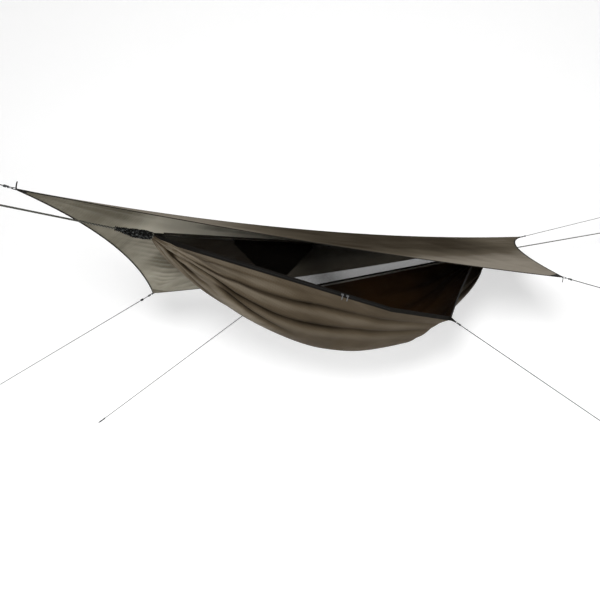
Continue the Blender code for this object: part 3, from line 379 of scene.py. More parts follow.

# %% [markdown]
# Each line becomes a tube and an eye, made with its real length and its diameter along the points
# that it follows.

CORD_POINTS = 24
for name, (start, way, length, diameter) in CORDS.items():
    finish, slot = (ROPE_FINISH, "rope") if diameter == ROPE else (GUY_FINISH, "guy_cord")
    path = start + np.linspace(0, length, CORD_POINTS)[:, None] * way
    line = make_piece(name + "_braid", swept(path, circle(diameter / 2)), finish, replaces=name)
    eye = make_piece(
        name + "_tied_eye", tied_eye(start + length * way, way, diameter), finish,
        replaces=name + "_eye")
    print(name, "length", length, "diameter", diameter)

# %% [markdown]
# ## A white sweep
# The picture has a plain white ground and a soft shadow just behind and below the tent. A studio
# gets that from a sweep, a sheet that runs as a floor under the object and curves up behind it.
# It stands square to the view, well behind the far pegs, and it is clear from its back, so that
# it hides nothing when the tent is looked at from behind.

# %% Shape of the sweep
FLOOR = -1.42 - RIDGE_MIDDLE[2]
SWEEP_START, CURVE_START, CURVE_RADIUS, WALL_HEIGHT, SWEEP_HALF_WIDTH = -12.0, 5.2, 2.8, 6.0, 11.0
level_forward = unit(forward * LEVEL)


def sweep_shape():
    """A level line, a quarter circle and an upright line, carried sideways."""
    turn = np.linspace(0, np.pi / 2, 25)
    wall = CURVE_START + CURVE_RADIUS
    ahead = np.concatenate([[SWEEP_START], CURVE_START + CURVE_RADIUS * np.sin(turn), [wall]])
    height = np.concatenate([[0], CURVE_RADIUS * (1 - np.cos(turn)), [WALL_HEIGHT]])
    across = np.linspace(-SWEEP_HALF_WIDTH, SWEEP_HALF_WIDTH, 3)
    base = CAMERA_PLACE * LEVEL + ahead[:, None] * level_forward + (FLOOR + height)[:, None] * UP
    points = base[:, None] + across[None, :, None] * level_right
    return grid(points, np.zeros(points.shape[:2] + (2,)))


sweep_points, sweep_faces, _ = sweep_shape()
print("sweep faces:", len(sweep_faces[0]))

# %% [markdown]
# ## White that stays white
# A white ground comes from the paper's own colour and from Light Path, never from more light on
# the tent. The camera sees the paper lifted by what the lights leave out, and so does a gloss.
# All other light meets plain matt paper, so the shadow stays.

# %% Finish: matt white paper
ROOM_LIGHT, BOX_LIGHT = 0.52, 0.54
PAPER_WHITE, BOX_ON_WALL_SHARE = 1.025, 0.95


def seen_rays(tree):
    """One for rays from the camera, off a gloss or through something clear, and nothing for others."""
    rays = add(tree, "LightPath").outputs
    seen = add(tree, "Math", {0: rays["Is Camera Ray"], 1: rays["Is Glossy Ray"]}, operation="MAXIMUM")
    return add(tree, "Math", {0: seen, 1: rays["Is Transmission Ray"]}, operation="MAXIMUM")


def sweep_finish():
    """Matt white paper, clear from behind. The camera sees it lifted to plain white: by what the room
    leaves out, less the box's share, which grows as the paper turns upright."""
    finish, tree, shader = new_finish(
        "matt white paper sweep", roughness=1.0, specular_ior_level=0.0, base_color=linear("ffffff"),
        emission_color=linear("ffffff"))
    seen = seen_rays(tree)
    facing = add(tree, "VectorMath", {
        0: add(tree, "NewGeometry").outputs["Normal"], 1: level_forward.tolist()}, operation="DOT_PRODUCT")
    turned = add(tree, "Math", {0: facing.outputs["Value"]}, operation="ABSOLUTE")
    lift = add(tree, "Math", {
        0: turned, 1: -BOX_ON_WALL_SHARE * BOX_LIGHT, 2: PAPER_WHITE - ROOM_LIGHT},
        operation="MULTIPLY_ADD")
    glow = add(tree, "Math", {0: seen, 1: lift}, operation="MULTIPLY")
    tree.links.new(glow.outputs[0], shader.inputs["Emission Strength"])
    front = add(tree, "MixShader", {
        0: add(tree, "NewGeometry").outputs["Backfacing"], 1: shader, 2: add(tree, "BsdfTransparent")})
    tree.links.new(front.outputs[0], tree.nodes["Material Output"].inputs["Surface"])
    return finish


sweep = bpy.data.objects.new("sweep", bpy.data.meshes.new("sweep"))
sweep.data.from_pydata((sweep_points + RIDGE_MIDDLE).tolist(), [], sweep_faces[0].tolist())
sweep.data.polygons.foreach_set("use_smooth", np.ones(len(sweep.data.polygons), bool))
sweep.data.materials.append(sweep_finish())
scene.collection.objects.link(sweep)
print("sweep normal of the floor:", tuple(round(v, 2) for v in sweep.data.polygons[0].normal))

# %% [markdown]
# ## Soft studio light
# About half of the light is a white room, and a soft box above the camera adds the rest and casts
# the shadow. Together they show each colour about as it is written. The box's light is set not to
# fade with distance, so that the tent and the sweep behind it are lit alike.

# %% World and lamp
world = bpy.data.worlds.new("white room")
scene.world = world
world.use_nodes = True
room = world.node_tree
strength = add(room, "MapRange", {"Value": seen_rays(room), "To Min": ROOM_LIGHT, "To Max": 1.0})
room.nodes["Background"].inputs["Color"].default_value = linear("ffffff")
room.links.new(strength.outputs[0], room.nodes["Background"].inputs["Strength"])

LAMP_WIDTH, LAMP_ABOVE, LAMP_LEFT, LAMP_AIM = 0.70, 0.60, 0.20, point(0.0, 0.0, -0.25)
lamp = bpy.data.lights.new("soft box", "AREA")
lamp.shape = "DISK"
lamp.size = LAMP_WIDTH
lamp.energy = np.pi * np.pi * BOX_LIGHT
lamp.use_nodes = True
steady = add(lamp.node_tree, "LightFalloff", {"Strength": 1.0})
emission = lamp.node_tree.nodes["Emission"]
lamp.node_tree.links.new(steady.outputs["Constant"], emission.inputs["Strength"])
soft_box = bpy.data.objects.new("soft box", lamp)
lamp_place = CAMERA_PLACE + LAMP_ABOVE * upward - LAMP_LEFT * right
box_way = unit(LAMP_AIM - lamp_place)
box_side, box_up = square_to(box_way)
soft_box.matrix_world = stood_at(lamp_place, -box_side, box_up, -box_way)
scene.collection.objects.link(soft_box)
print("lamp power:", round(lamp.energy, 2))

# %% [markdown]
# ## The rain fly's cloth
# The fly is a parallelogram of nylon coated with silicone. It is two triangles sewn together
# along the ridge, hung between the two ridge cords and pulled out at a near and a far corner. Cloth
# stretched between three points takes a smooth saddle, so each half is a quadratic Bezier triangle:
# three corners, and one sag vector for the middle of each edge.

# %% The fly's corners and edges
FLY_LEFT, FLY_RIGHT = point(-2.13, 0, 0.168), point(2.13, 0, 0.168)
FLY_CORNER = {"near": point(0.845, -1.008, -0.208), "far": point(-0.851, 1.015, -0.293)}
RIDGE_SAG = point(-0.20, 0, -0.082)
NEAR_HEM_SAG, FAR_HEM_SAG = -0.028 * UP, -0.046 * UP
NEAR_EDGE_HOLLOW, FAR_EDGE_HOLLOW = 0.165, 0.097


def hollow(start, end, third, depth):
    """The bow of an edge from start to end, drawn in square to it towards the third corner."""
    way = unit(end - start)
    inward = (third - start) - np.dot(third - start, way) * way
    return depth * unit(inward)


EDGE_SAGS = {
    "near": (NEAR_HEM_SAG, hollow(FLY_RIGHT, FLY_CORNER["near"], FLY_LEFT, NEAR_EDGE_HOLLOW)),
    "far": (hollow(FLY_LEFT, FLY_CORNER["far"], FLY_RIGHT, FAR_EDGE_HOLLOW), FAR_HEM_SAG),
}


def fly_point(half, left, right_share, corner):
    """The place on one half of the fly with these three corner shares, which sum to one. The sag of
    each edge counts with four times the product of the two shares that the edge joins."""
    left_sag, right_sag = EDGE_SAGS[half]
    left, right_share, corner = (np.asarray(a, float)[..., None] for a in (left, right_share, corner))
    flat = left * FLY_LEFT + right_share * FLY_RIGHT + corner * FLY_CORNER[half]
    sag = left * right_share * RIDGE_SAG + left * corner * left_sag + right_share * corner * right_sag
    return flat + 4 * sag


def grid_normals(points):
    """The direction square to a grid of points at each point, from the slopes along both ways."""
    return unit(np.cross(np.gradient(points, axis=0), np.gradient(points, axis=1)))


print("middle of the ridge:", fly_point("near", 0.5, 0.5, 0.0).round(3))

# %% [markdown]
# ## Creases out of the corners
# Fine creases run out of every corner, where the pull is strongest. A cloth simulation would find
# much the same surface and cost time at each render, so the creases are written as waves. A smooth
# step, which is also useful later, lets them start and end softly.

# %% Creases
FLY_REACH, CREASE_START, CREASE_FADE = 2.2, (0.11, 0.32), 0.55
END_CREASES, CORNER_CREASES = 7, 9


def step(value, start, end):
    """Nothing before the start, one after the end, and a smooth rise between. With the start above
    the end it is one below the end and falls to nothing at the start."""
    t = np.clip((value - start) / (end - start), 0, 1)
    return t * t * (3 - 2 * t)


def bell(value, middle, width):
    """One at the middle, falling off smoothly to both sides: e to the minus square of the distance
    in widths."""
    return np.exp(-((value - middle) / width) ** 2)


def corner_creases(left, right_share, corner, height):
    """Waves that fan out of each corner. They count across the corner's angle, start at nothing on
    the two edges and under the corner's patch, are highest a hand's width on, and then die away."""
    total = 0
    for own, one, other, count in (
            (left, right_share, corner, END_CREASES), (right_share, corner, left, END_CREASES),
            (corner, left, right_share, CORNER_CREASES)):
        away = (1 - own) * FLY_REACH
        across = one / np.maximum(one + other, 1e-6)
        fade = step(away, *CREASE_START) * np.exp(-away / CREASE_FADE)
        total = total + height * fade * np.sin(np.pi * across) * np.cos(np.pi * count * across + away)
    return total


print("crease strength 0.2, 0.5 and 1 m from a corner:",
      [round(float(step(a, *CREASE_START) * np.exp(-a / CREASE_FADE)), 2) for a in (0.2, 0.5, 1.0)])

# %% [markdown]
# ## Coated nylon
# Thin nylon with a silicone coat is slippery, with no more than a faint sheen in soft light. Its
# woven grid of thicker threads is about 5 mm apart, finer than a pixel here, so it is drawn three
# times coarser. Handling leaves soft creases, which are noise stretched along the cloth and used
# as bump. Three colours, for painted shade in folds, plain cloth and painted highlights on crests
# and lit places, are mixed by one tone.

# %% Finish: coated ripstop nylon
GRID_MM = 15
THREAD_POWER, THREAD_TONE, THREAD_RELIEF = 12.0, 0.05, 0.02
MOTTLE_SHARE, BLOTCHES_PER_METRE, CREASE_RELIEF = 0.45, 2.6, 0.02
# Tones at which the painted shade colour, the plain colour and the painted highlight colour are reached
DEEP_TONE, PLAIN_TONE, HIGHLIGHT_TONE = -0.05, 0.45, 0.95


def coated_nylon(
        name, deep, colour, worn, roughness=0.55, crease=0.35, stretch=(1.6, 9.0), reads=1.0, gloss=0.02):
    """Woven nylon with a silicone coat. Its tone is a broad mottle, plus the thread grid and the
    share of the piece's shade that it reads. It runs from the deep colour, which paints shade in folds,
    through the plain one to the worn one, which paints highlights on crests and lit places."""
    finish, tree, shader = new_finish(
        name, roughness=roughness, sheen_weight=gloss / 2, ior=1.45, specular_ior_level=gloss)
    uv = add(tree, "TexCoord").outputs["UV"]
    threads = []
    for axis in ("X", "Y"):
        band = add(tree, "TexWave", {"Vector": uv, "Scale": per_metre(GRID_MM)}, bands_direction=axis)
        threads.append(add(tree, "Math", {0: band.outputs["Fac"], 1: THREAD_POWER}, operation="POWER"))
    weave = add(tree, "Math", {0: threads[0], 1: threads[1]}, operation="MAXIMUM")
    along = add(tree, "Mapping", {"Vector": uv, "Scale": (*stretch, 1.0)})
    wrinkle = add(tree, "TexNoise", {
        "Vector": along, "Scale": 1.0, "Detail": 6.0, "Roughness": 0.55, "Distortion": 0.4})
    blotch = add(tree, "TexNoise", {"Vector": uv, "Scale": BLOTCHES_PER_METRE, "Detail": 4.0})
    mottle = add(tree, "Math", {0: wrinkle, 1: blotch}, operation="ADD")
    shade = add(tree, "Attribute", attribute_name="shade").outputs["Fac"]
    shade = add(tree, "Math", {0: shade, 1: reads}, operation="MULTIPLY")
    tone = add(tree, "Math", {0: mottle, 1: MOTTLE_SHARE, 2: shade}, operation="MULTIPLY_ADD")
    tone = add(tree, "Math", {0: weave, 1: THREAD_TONE, 2: tone}, operation="MULTIPLY_ADD")
    lower = add(tree, "MapRange", {"Value": tone, "From Min": DEEP_TONE, "From Max": PLAIN_TONE})
    upper = add(tree, "MapRange", {"Value": tone, "From Min": PLAIN_TONE, "From Max": HIGHLIGHT_TONE})
    mixed = add(tree, "Mix", {0: lower, 6: linear(deep), 7: linear(colour)}, data_type="RGBA")
    mixed = add(tree, "Mix", {0: upper, 6: mixed.outputs[2], 7: linear(worn)}, data_type="RGBA")
    relief = add(tree, "Math", {0: weave, 1: THREAD_RELIEF, 2: wrinkle}, operation="MULTIPLY_ADD")
    bump = add(tree, "Bump", {"Height": relief, "Strength": crease, "Distance": CREASE_RELIEF})
    tree.links.new(mixed.outputs[2], shader.inputs["Base Color"])
    tree.links.new(bump.outputs[0], shader.inputs["Normal"])
    return finish


# The outer face is matt olive brown. It has no gloss, which would mirror the white room and turn
# it grey. The near half's takes its painted light and shade in full. The far half's reads only a
# fifth of the painted shade, which is meant for its underside, and stays even.
FLY_OUTER_NEAR = coated_nylon("silicone-coated nylon, olive brown", "3e372d", "665e51", "9c9487", gloss=0.0)
FLY_OUTER_FAR = coated_nylon(
    "silicone-coated nylon, far face", "3e372d", "57503f", "857d70", reads=0.2, gloss=0.0)
# Daylight comes through the cloth: the near underside's colours are darker, painted shade, and
# the far one's are paler, painted light that glows through.
FLY_INNER_NEAR = coated_nylon("silicone-coated nylon, shaded underside", "3a3023", "5a4c38", "77694f")
FLY_INNER_FAR = coated_nylon(
    "silicone-coated nylon, sunlit underside", "3d3224", "6f6a5c", "bdb8a8", crease=0.5,
    stretch=(7.0, 2.4))
print("grid drawn every", GRID_MM, "mm")

# %% [markdown]
# ## Light and dark in the fly
# A real fly isn't evenly lit: daylight comes through it more where nothing hangs beneath, it is
# in shade over the bed, and the near half is lighter at its left end, towards its pulled-out corners
# and at its right tip. That light and shade is painted into the cloth's colour. Such broad changes
# are no pattern, so each half has its own small function of place, made of smooth steps.

# %% Shade of the fly
# Each patch of painted light and shade: how much paler or darker it makes the cloth, and where its
# smooth steps start and end
MIDDLE_DARK = 0.45
LEFT_END_PALE, LEFT_END = 0.75, (-0.50, -1.35)
LOWER_PART_PALE, LOWER_PART = 0.95, (0.42, 0.78)
RIGHT_END_PALE, RIGHT_END = 0.45, (0.85, 1.5)
FIELD_PALE, FIELD_LEFT, FIELD_RIGHT = 0.12, (-1.6, -1.25), (-0.35, -0.75)
FIELD_TOP_PALE, FIELD_TOP = 0.60, (0.32, 0.22)
FIELD_CORNER_PALE, FIELD_CORNER = 0.12, (0.55, 0.8)
OVER_BED_DARK, BED_LEFT_END, BED_UPPER, BED_LOWER = 0.45, (-1.20, -0.95), (0.215, 0.26), (0.82, 0.5)
BED_MIDDLE_LESS, BED_MIDDLE = 0.20, (-0.45, -0.05)
BY_RIDGE_PALE, RIDGE_LEFT_END, RIDGE_BAND = 0.16, (-1.25, -1.0), (0.18, 0.12)


def near_shade(x, v):
    """Painted light and shade of the near half: painted shade in the middle, and painted light towards
    the left end, towards the pulled-out corner, and at the right end near the ridge. Here x is the place
    along and v the share of the way to the corner."""
    left_end = LEFT_END_PALE * step(x, *LEFT_END)
    lower_part = LOWER_PART_PALE * step(v, *LOWER_PART)
    right_end = RIGHT_END_PALE * step(x, *RIGHT_END) * step(v, *LOWER_PART[::-1])
    return left_end + lower_part + right_end - MIDDLE_DARK


def far_shade(x, v):
    """Painted light and shade of the far half: painted light in a field behind the bed's left end, where
    daylight comes through, most near its top. Painted shade over the bed, less from its middle on, and
    a little painted light in a band by the ridge."""
    over_bed = step(x, *BED_LEFT_END) * step(v, *BED_UPPER) * step(v, *BED_LOWER)
    by_ridge = step(x, *RIDGE_LEFT_END) * step(v, *RIDGE_BAND)
    pale = FIELD_PALE + FIELD_CORNER_PALE * step(v, *FIELD_CORNER) + FIELD_TOP_PALE * step(v, *FIELD_TOP)
    pale = pale * step(x, *FIELD_LEFT) * step(x, *FIELD_RIGHT)
    dark = OVER_BED_DARK - BED_MIDDLE_LESS * step(x, *BED_MIDDLE)
    return pale * (1 - over_bed) * (1 - by_ridge) - dark * over_bed + BY_RIDGE_PALE * by_ridge


def cross_ripples(u, v):
    """Short ripples in a window behind the bed's left end: a fast sine of v that slower sines bend,
    times a bell in u and a step up and down in v."""
    window = bell(u, 0.20, 0.10) * step(v, 0.22, 0.40) * step(v, 1.0, 0.8)
    return np.sin(118 * v + 7 * u + 1.4 * np.sin(26 * u) + 0.8 * np.sin(31 * v)) * window


print("shade halfway down the near half, left, middle, right:",
      [round(float(near_shade(x, 0.5)), 2) for x in (-1.4, 0.0, 1.4)])

# %% [markdown]
# ## Two panels, each one curved sheet
# A triangle becomes a grid when one parameter runs along the ridge and the other from the ridge
# to the pulled-out corner, where the rows draw together. The rows stop just inside the corner,
# under its webbing. Solidify gives the cloth its thickness, with the outer finish on one face
# and the underside's on the other.

# %% Fly panels
FLY_ROWS, FLY_COLUMNS, FLY_WALL = 150, 150, 0.0012
ROWS_FROM, ROWS_TO, ROW_POWER, COLUMNS_FROM, COLUMNS_TO = 0.003, 0.978, 1.15, 0.002, 0.998
CREASE_HEIGHT = {"near": 0.0042, "far": 0.007}
# Relief of the ripples, and the painted shade and highlight from the cross ripples and each metre of rise
RIPPLE_HEIGHT, CROSS_HEIGHT, CROSS_SHADE, SHADE_PER_METRE = 0.0022, 0.0028, 0.10, 12
# Length, depth and area of each panel laid flat
FLAT_FLY = {"near": (4.27, 1.09, 2.10), "far": (4.27, 1.12, 2.20)}
FLY_FINISHES = {"near": (FLY_OUTER_NEAR, FLY_INNER_NEAR), "far": (FLY_OUTER_FAR, FLY_INNER_FAR)}


def fly_panel(half):
    """Shares of the three corners on a grid: the corner's share is v, and the rest is parted by u.
    The points lie on the Bezier surface, moved along its normal by the creases. The shade paints shade
    in each crease and a highlight on each crest, by the rise, plus the half's painted light and shade.
    UV is the place along the ridge and the distance from it, in metres."""
    v = (1 - (1 - np.linspace(ROWS_FROM, ROWS_TO, FLY_ROWS)) ** ROW_POWER)[:, None]
    u = np.linspace(COLUMNS_FROM, COLUMNS_TO, FLY_COLUMNS)[None, :] + 0 * v
    left, right_share, corner = (1 - u) * (1 - v), u * (1 - v), v + 0 * u
    points = fly_point(half, left, right_share, corner)
    x = points[..., 0]
    normals = grid_normals(points)
    normals *= np.sign(normals[..., 2:])
    rise = corner_creases(left, right_share, corner, CREASE_HEIGHT[half])
    rise += RIPPLE_HEIGHT * np.sin(9 * u * np.pi + 3 * v) * np.sin(np.pi * v) * np.sin(2.3 * np.pi * u)
    shade = SHADE_PER_METRE * rise
    if half == "near":
        shade += near_shade(x, v)
    else:
        cross = cross_ripples(u, v)
        rise += CROSS_HEIGHT * cross
        shade += far_shade(x, v) + CROSS_SHADE * cross
    points = points + rise[..., None] * normals
    depth = np.linalg.norm(points[..., 1:] - FLY_LEFT[1:], axis=-1)
    uv = np.stack([points[..., 0], depth], -1)
    if half == "near":
        points, uv, shade = points[::-1], uv[::-1], shade[::-1]
    return grid(points, uv), shade


for half, (length, depth, area) in FLAT_FLY.items():
    shape, shade = fly_panel(half)
    panel = make_piece(
        f"fly_{half}_cloth", shape, FLY_FINISHES[half],
        replaces=f"fly_{half}_panel", wall=FLY_WALL, shade=shade)
    print(panel.name, "first normal", [round(v, 2) for v in panel.data.polygons[4000].normal])

# %% [markdown]
# ## The bed's two edges
# The bed is one long cloth, drawn together at both ends, that hangs lower than its edges. The tent
# is entered from the side, and its two widest corners, where the side lines pull, lie diagonally.
# So each edge is a line of straight runs, and its longest run bows in a little.

# %% The edges
HALF, BODY_END, TAPE_HEIGHT, TAPE_THICK = 1.45, 1.39, 0.026, 0.0025
TIE_OUT_LENGTH = 0.040
HEAD_RIM, FOOT_RIM = point(-HALF, 0, -0.008), point(HALF, 0, -0.008)
ZIP_FOOT = point(-0.112, -0.430, -0.397)
NEAR_WAY, FAR_WAY = CORDS["side_guy_near"][1], CORDS["side_guy_far"][1]
NEAR_CORNER = point(0.331, -0.572, -0.482) - TIE_OUT_LENGTH * NEAR_WAY
FAR_CORNER = point(-0.240, 0.575, -0.335) - TIE_OUT_LENGTH * FAR_WAY
RIMS = {
    "near": (np.stack([HEAD_RIM, ZIP_FOOT, NEAR_CORNER, FOOT_RIM]), NEAR_CORNER[0], HALF),
    "far": (np.stack([HEAD_RIM, FAR_CORNER, FOOT_RIM]), -HALF, FAR_CORNER[0]),
}
EDGE_BOW = 0.030


def rim(side, x):
    """The edge at places x along: straight runs between its corners, and one run that also bows in
    towards the ridge line and down, by four times t times (1 - t) times the bow."""
    corners, bow_start, bow_end = RIMS[side]
    x = np.asarray(x, float)
    t = np.clip((x - bow_start) / (bow_end - bow_start), 0, 1)
    bow = 4 * t * (1 - t) * EDGE_BOW
    y = np.interp(x, corners[:, 0], corners[:, 1]) - bow * (1 if side == "far" else -1)
    z = np.interp(x, corners[:, 0], corners[:, 2]) - bow
    return np.stack([x, y, z], -1)


print("near edge at the middle:", rim("near", 0.0).round(3))

# %% [markdown]
# ## The bed's hang
# Two curves make the bed. Along the tent the belly follows a power curve, and across it each
# section is a deep arch that swings out near the ends, towards the diagonal corners.

# %% The bed's section
BELLY_DEPTH, BELLY_SHARP, BELLY_ROUND = 0.668, 1.65, 0.835
SWING, RIGHT_SWING_MORE, ARCH_POWER = 0.288, 0.35, 2.22
HEAD_SHALLOWER, HEAD_SHALLOW_REACH = 0.25, 0.22


def belly(x):
    """How far the bed hangs below the ridge line at places x along: depth times (1 - share to one
    power) to another power."""
    return BELLY_DEPTH * (1 - (np.abs(x) / HALF) ** BELLY_SHARP) ** BELLY_ROUND


def bed_hang(x, t):
    """The bed without folds at places x along and shares t across, from near edge to far edge. Each
    section starts as the straight line between the edges, swings out by a bulge, and drops by a
    power of its arch."""
    below = (TAPE_HEIGHT / 2 - 0.003) * UP
    near, far = rim("near", x) - below, rim("far", x) - below
    arch = np.sin(np.pi * t)
    share = x / HALF
    bulge = SWING * share**2 * np.sqrt(1 - share**2)
    bulge = bulge * (1 + RIGHT_SWING_MORE * step(x, 0.2, 0.8) * (t < 0.5))
    depth = belly(x) * (1 - HEAD_SHALLOWER * np.exp(-(HALF + x) / HEAD_SHALLOW_REACH))
    depth = depth + (near[..., 2] + far[..., 2]) / 2
    points = near + t[..., None] * (far - near)
    points[..., 1] -= bulge * np.sin(2 * np.pi * t) * arch
    points[..., 2] -= depth * (arch**ARCH_POWER + arch) / 2
    return points


print("belly at the middle and a quarter along:", belly(np.array([0.0, HALF / 2])).round(3))

# %% [markdown]
# ## Folds
# Long folds run from each gathered end, where the wide cloth is drawn into a narrow bundle. A cloth
# simulation would place them by chance. Here each one is a line in a table, so that it lies where
# the photograph shows it: its end of the tent, some distances from that end, the fold's share of
# the way across at each of them, and its height and width.

# %% Table of the folds
FOLDS = [
    (-1, (0.06, 0.12, 0.23, 0.30, 0.43, 0.58, 0.80, 0.96, 1.30, 1.9),
     (0.46, 0.355, 0.29, 0.27, 0.215, 0.20, 0.17, 0.14, 0.11, 0.09), 0.015, 0.017),
    (-1, (0.06, 0.12, 0.20, 0.29, 0.44, 0.56, 0.70, 0.86, 1.08, 1.30, 2.0),
     (0.50, 0.46, 0.39, 0.355, 0.36, 0.34, 0.325, 0.30, 0.26, 0.22, 0.16), 0.016, 0.017),
    (-1, (0.34, 0.40, 0.49, 0.59, 0.69, 0.92), (0.405, 0.405, 0.41, 0.415, 0.41, 0.40), 0.024, 0.019),
    (-1, (0.05, 0.10, 0.17, 0.24, 0.34, 0.46), (0.49, 0.488, 0.487, 0.486, 0.478, 0.46), 0.010, 0.024),
    (-1, (0.06, 0.30, 0.60, 0.90, 1.20), (0.30, 0.10, 0.075, 0.06, 0.05), 0.006, 0.020),
    (-1, (0.06, 0.30, 0.60, 0.90, 1.20, 1.50), (0.52, 0.56, 0.60, 0.64, 0.68, 0.72), 0.012, 0.030),
    (-1, (0.06, 0.30, 0.60, 0.90, 1.20, 1.50), (0.60, 0.68, 0.76, 0.82, 0.86, 0.90), 0.010, 0.030),
    (1, (0.06, 0.20, 0.40, 0.60, 0.90, 1.30), (0.60, 0.74, 0.77, 0.79, 0.84, 0.89), 0.009, 0.028),
    (1, (0.06, 0.20, 0.40, 0.60, 0.90, 1.30), (0.55, 0.62, 0.63, 0.65, 0.69, 0.75), 0.010, 0.030),
    (1, (0.34, 0.45, 0.60, 0.75, 0.90), (0.59, 0.585, 0.58, 0.585, 0.59), 0.008, 0.020),
    (1, (0.06, 0.30, 0.60, 0.90, 1.20, 1.50), (0.46, 0.40, 0.36, 0.33, 0.30, 0.27), 0.009, 0.030),
    (1, (0.06, 0.30, 0.60, 0.90, 1.20), (0.34, 0.22, 0.15, 0.09, 0.05), 0.009, 0.024),
]
print("folds at the left and right end:", [sum(fold[0] == end for fold in FOLDS) for end in (-1, 1)])

# %% [markdown]
# Softer waves lie between the folds, and the cloth on the left end's lower rim is rumpled. Relief
# of a few millimetres hardly shows in soft light, so each wave also paints shade in its troughs and
# highlights on its crests. Broad painted light and shade come on top: painted light on the left end
# and on the lower rim near it, painted shade along the rim by the left knot, and a darker right end.
# Fine pale stripes are painted highlights that stand for pleats too narrow for the mesh.

# %% Waves of the bed
# Waves near the ends: height, reach from the end in metres, half turns across, turn along
END_WAVES = [(0.006, 0.40, 8, 0.0), (0.0035, 0.25, 22, 4 / HALF)]
LOW_WAVE_HEIGHT, RUMPLE_HEIGHT, WAVE_SHADE_PER_METRE = 0.003, 0.0025, 9
RUMPLE_SHARE, RUMPLE_WIDTH, RUMPLE_END = 0.47, 0.05, (1.1, 0.5)
# Broad painted light and shade of the bed, and the painted highlights of its pleats
HEAD_PALE, HEAD_PALE_REACH, RIM_PALE, RUMPLE_PALE = 0.30, 0.34, 0.22, 0.12
KNOT_DARK, KNOT_SHARE, KNOT_WIDTH, KNOT_END = 0.85, 0.487, 0.016, (0.32, 0.15)
FOOT_DARK, FOOT_START, FOOT_NEAR_DARK, FOOT_NEAR = 0.35, (0.75, 1.1), 0.55, (0.34, 0.20)
PLEAT_PALE, PLEAT_REACH, PLEAT_HALF_TURNS = 0.11, 0.32, 46


def bed_waves(x, t):
    """Rise and shade of the waves: cosines of the place across that die away from the ends, one
    slanted sine all over, and two crossed sines in a band on the left end's rim. The painted shade is
    the rise, plus the broad painted light and shade, plus a last cosine of painted pleat highlights."""
    arch = np.sin(np.pi * t)
    from_end, from_head = HALF - np.abs(x), HALF + x
    rise = LOW_WAVE_HEIGHT * np.sin(7 * x + 16 * t) * arch
    for height, reach, half_turns, along in END_WAVES:
        rise += height * np.exp(-from_end / reach) * np.cos(half_turns * np.pi * t + along * x) * arch
    rim_band = bell(t, RUMPLE_SHARE, RUMPLE_WIDTH) * step(from_head, *RUMPLE_END)
    rumple = rim_band * np.sin(60 * from_head + 70 * t) * np.sin(23 * x)
    rise += RUMPLE_HEIGHT * rumple
    shade = WAVE_SHADE_PER_METRE * rise + HEAD_PALE * np.exp(-from_head / HEAD_PALE_REACH)
    shade += RIM_PALE * rim_band + RUMPLE_PALE * rumple
    shade -= KNOT_DARK * bell(t, KNOT_SHARE, KNOT_WIDTH) * step(from_head, *KNOT_END)
    shade -= (FOOT_DARK + FOOT_NEAR_DARK * step(t, *FOOT_NEAR)) * step(x, *FOOT_START)
    pleats = np.exp(-from_end / PLEAT_REACH) * np.cos(PLEAT_HALF_TURNS * np.pi * t + 9 * x)
    shade += PLEAT_PALE * pleats * np.minimum(3 * arch, 1)
    return rise, shade


print("shade at the left end, middle and right end:",
      [round(float(bed_waves(np.float64(x), 0.3)[1]), 2) for x in (-1.3, 0.0, 1.3)])

# %% [markdown]
# Across a fold there are three soft bells: a narrow valley on the fold's line, a wider and paler
# crest beyond it, and a darker tail before it. The crest gets a painted highlight, where the light
# would catch it, and the valley and the tail painted shade, where it is lost, so a fold shows as a
# dark line with a pale one beside it.

# %% Folds of the bed
DEEPEST_FOLD, FOLD_OPENS_OVER, TIP_WIDTH_SHARE, FADE_FROM_SHARE = 0.016, 0.8, 0.45, 0.45
CREST_PLACE, TAIL_PLACE, CREST_WIDTH, CREST_HEIGHT_SHARE = 2.4, -1.2, 2.0, 0.55
CREST_SHADE, TAIL_SHADE, VALLEY_SHADE = 0.16, 0.11, 0.44


def bed_folds(x, t):
    """Rise and shade of the folds. Each one is the sum of its three bells. It widens with distance
    from the end, starts softly and fades along the last part of its line."""
    rise, shade = 0, 0
    for end, places, shares, height, width in FOLDS:
        away = HALF - end * x
        centre = np.interp(away, places, shares)
        wide = width * np.minimum(1, TIP_WIDTH_SHARE + away / FOLD_OPENS_OVER)
        fade = step(away, places[0] - 0.05, places[0] + 0.06)
        fade = fade * step(away, places[-1] + 0.10, FADE_FROM_SHARE * places[-1])
        fade = fade * np.minimum(np.sin(np.pi * t) * 3, 1)
        beyond = (t - centre) * -end
        valley = bell(beyond, 0, wide)
        crest = bell(beyond, CREST_PLACE * wide, CREST_WIDTH * wide)
        tail = bell(beyond, TAIL_PLACE * wide, CREST_WIDTH * wide)
        rise += height * fade * (CREST_HEIGHT_SHARE * crest - valley)
        tone = CREST_SHADE * crest - TAIL_SHADE * tail - VALLEY_SHADE * valley
        shade += fade * (height / DEEPEST_FOLD) * tone
    return rise, shade


def bed_point(x, t):
    """The bed and its shade on a grid of places x along and shares t across: the plain hang, moved
    square to each section by the waves and the folds."""
    x, t = np.meshgrid(x, t, indexing="ij")
    points = bed_hang(x, t)
    slope = np.gradient(points[..., 1:], axis=1)
    normals = unit(np.stack([slope[..., 1], -slope[..., 0]], -1))
    wave_rise, wave_shade = bed_waves(x, t)
    fold_rise, fold_shade = bed_folds(x, t)
    points[..., 1:] += (wave_rise + fold_rise)[..., None] * normals
    return points, wave_shade + fold_shade


print("highest crest in mm:", round(1000 * CREST_HEIGHT_SHARE * max(fold[3] for fold in FOLDS), 1))
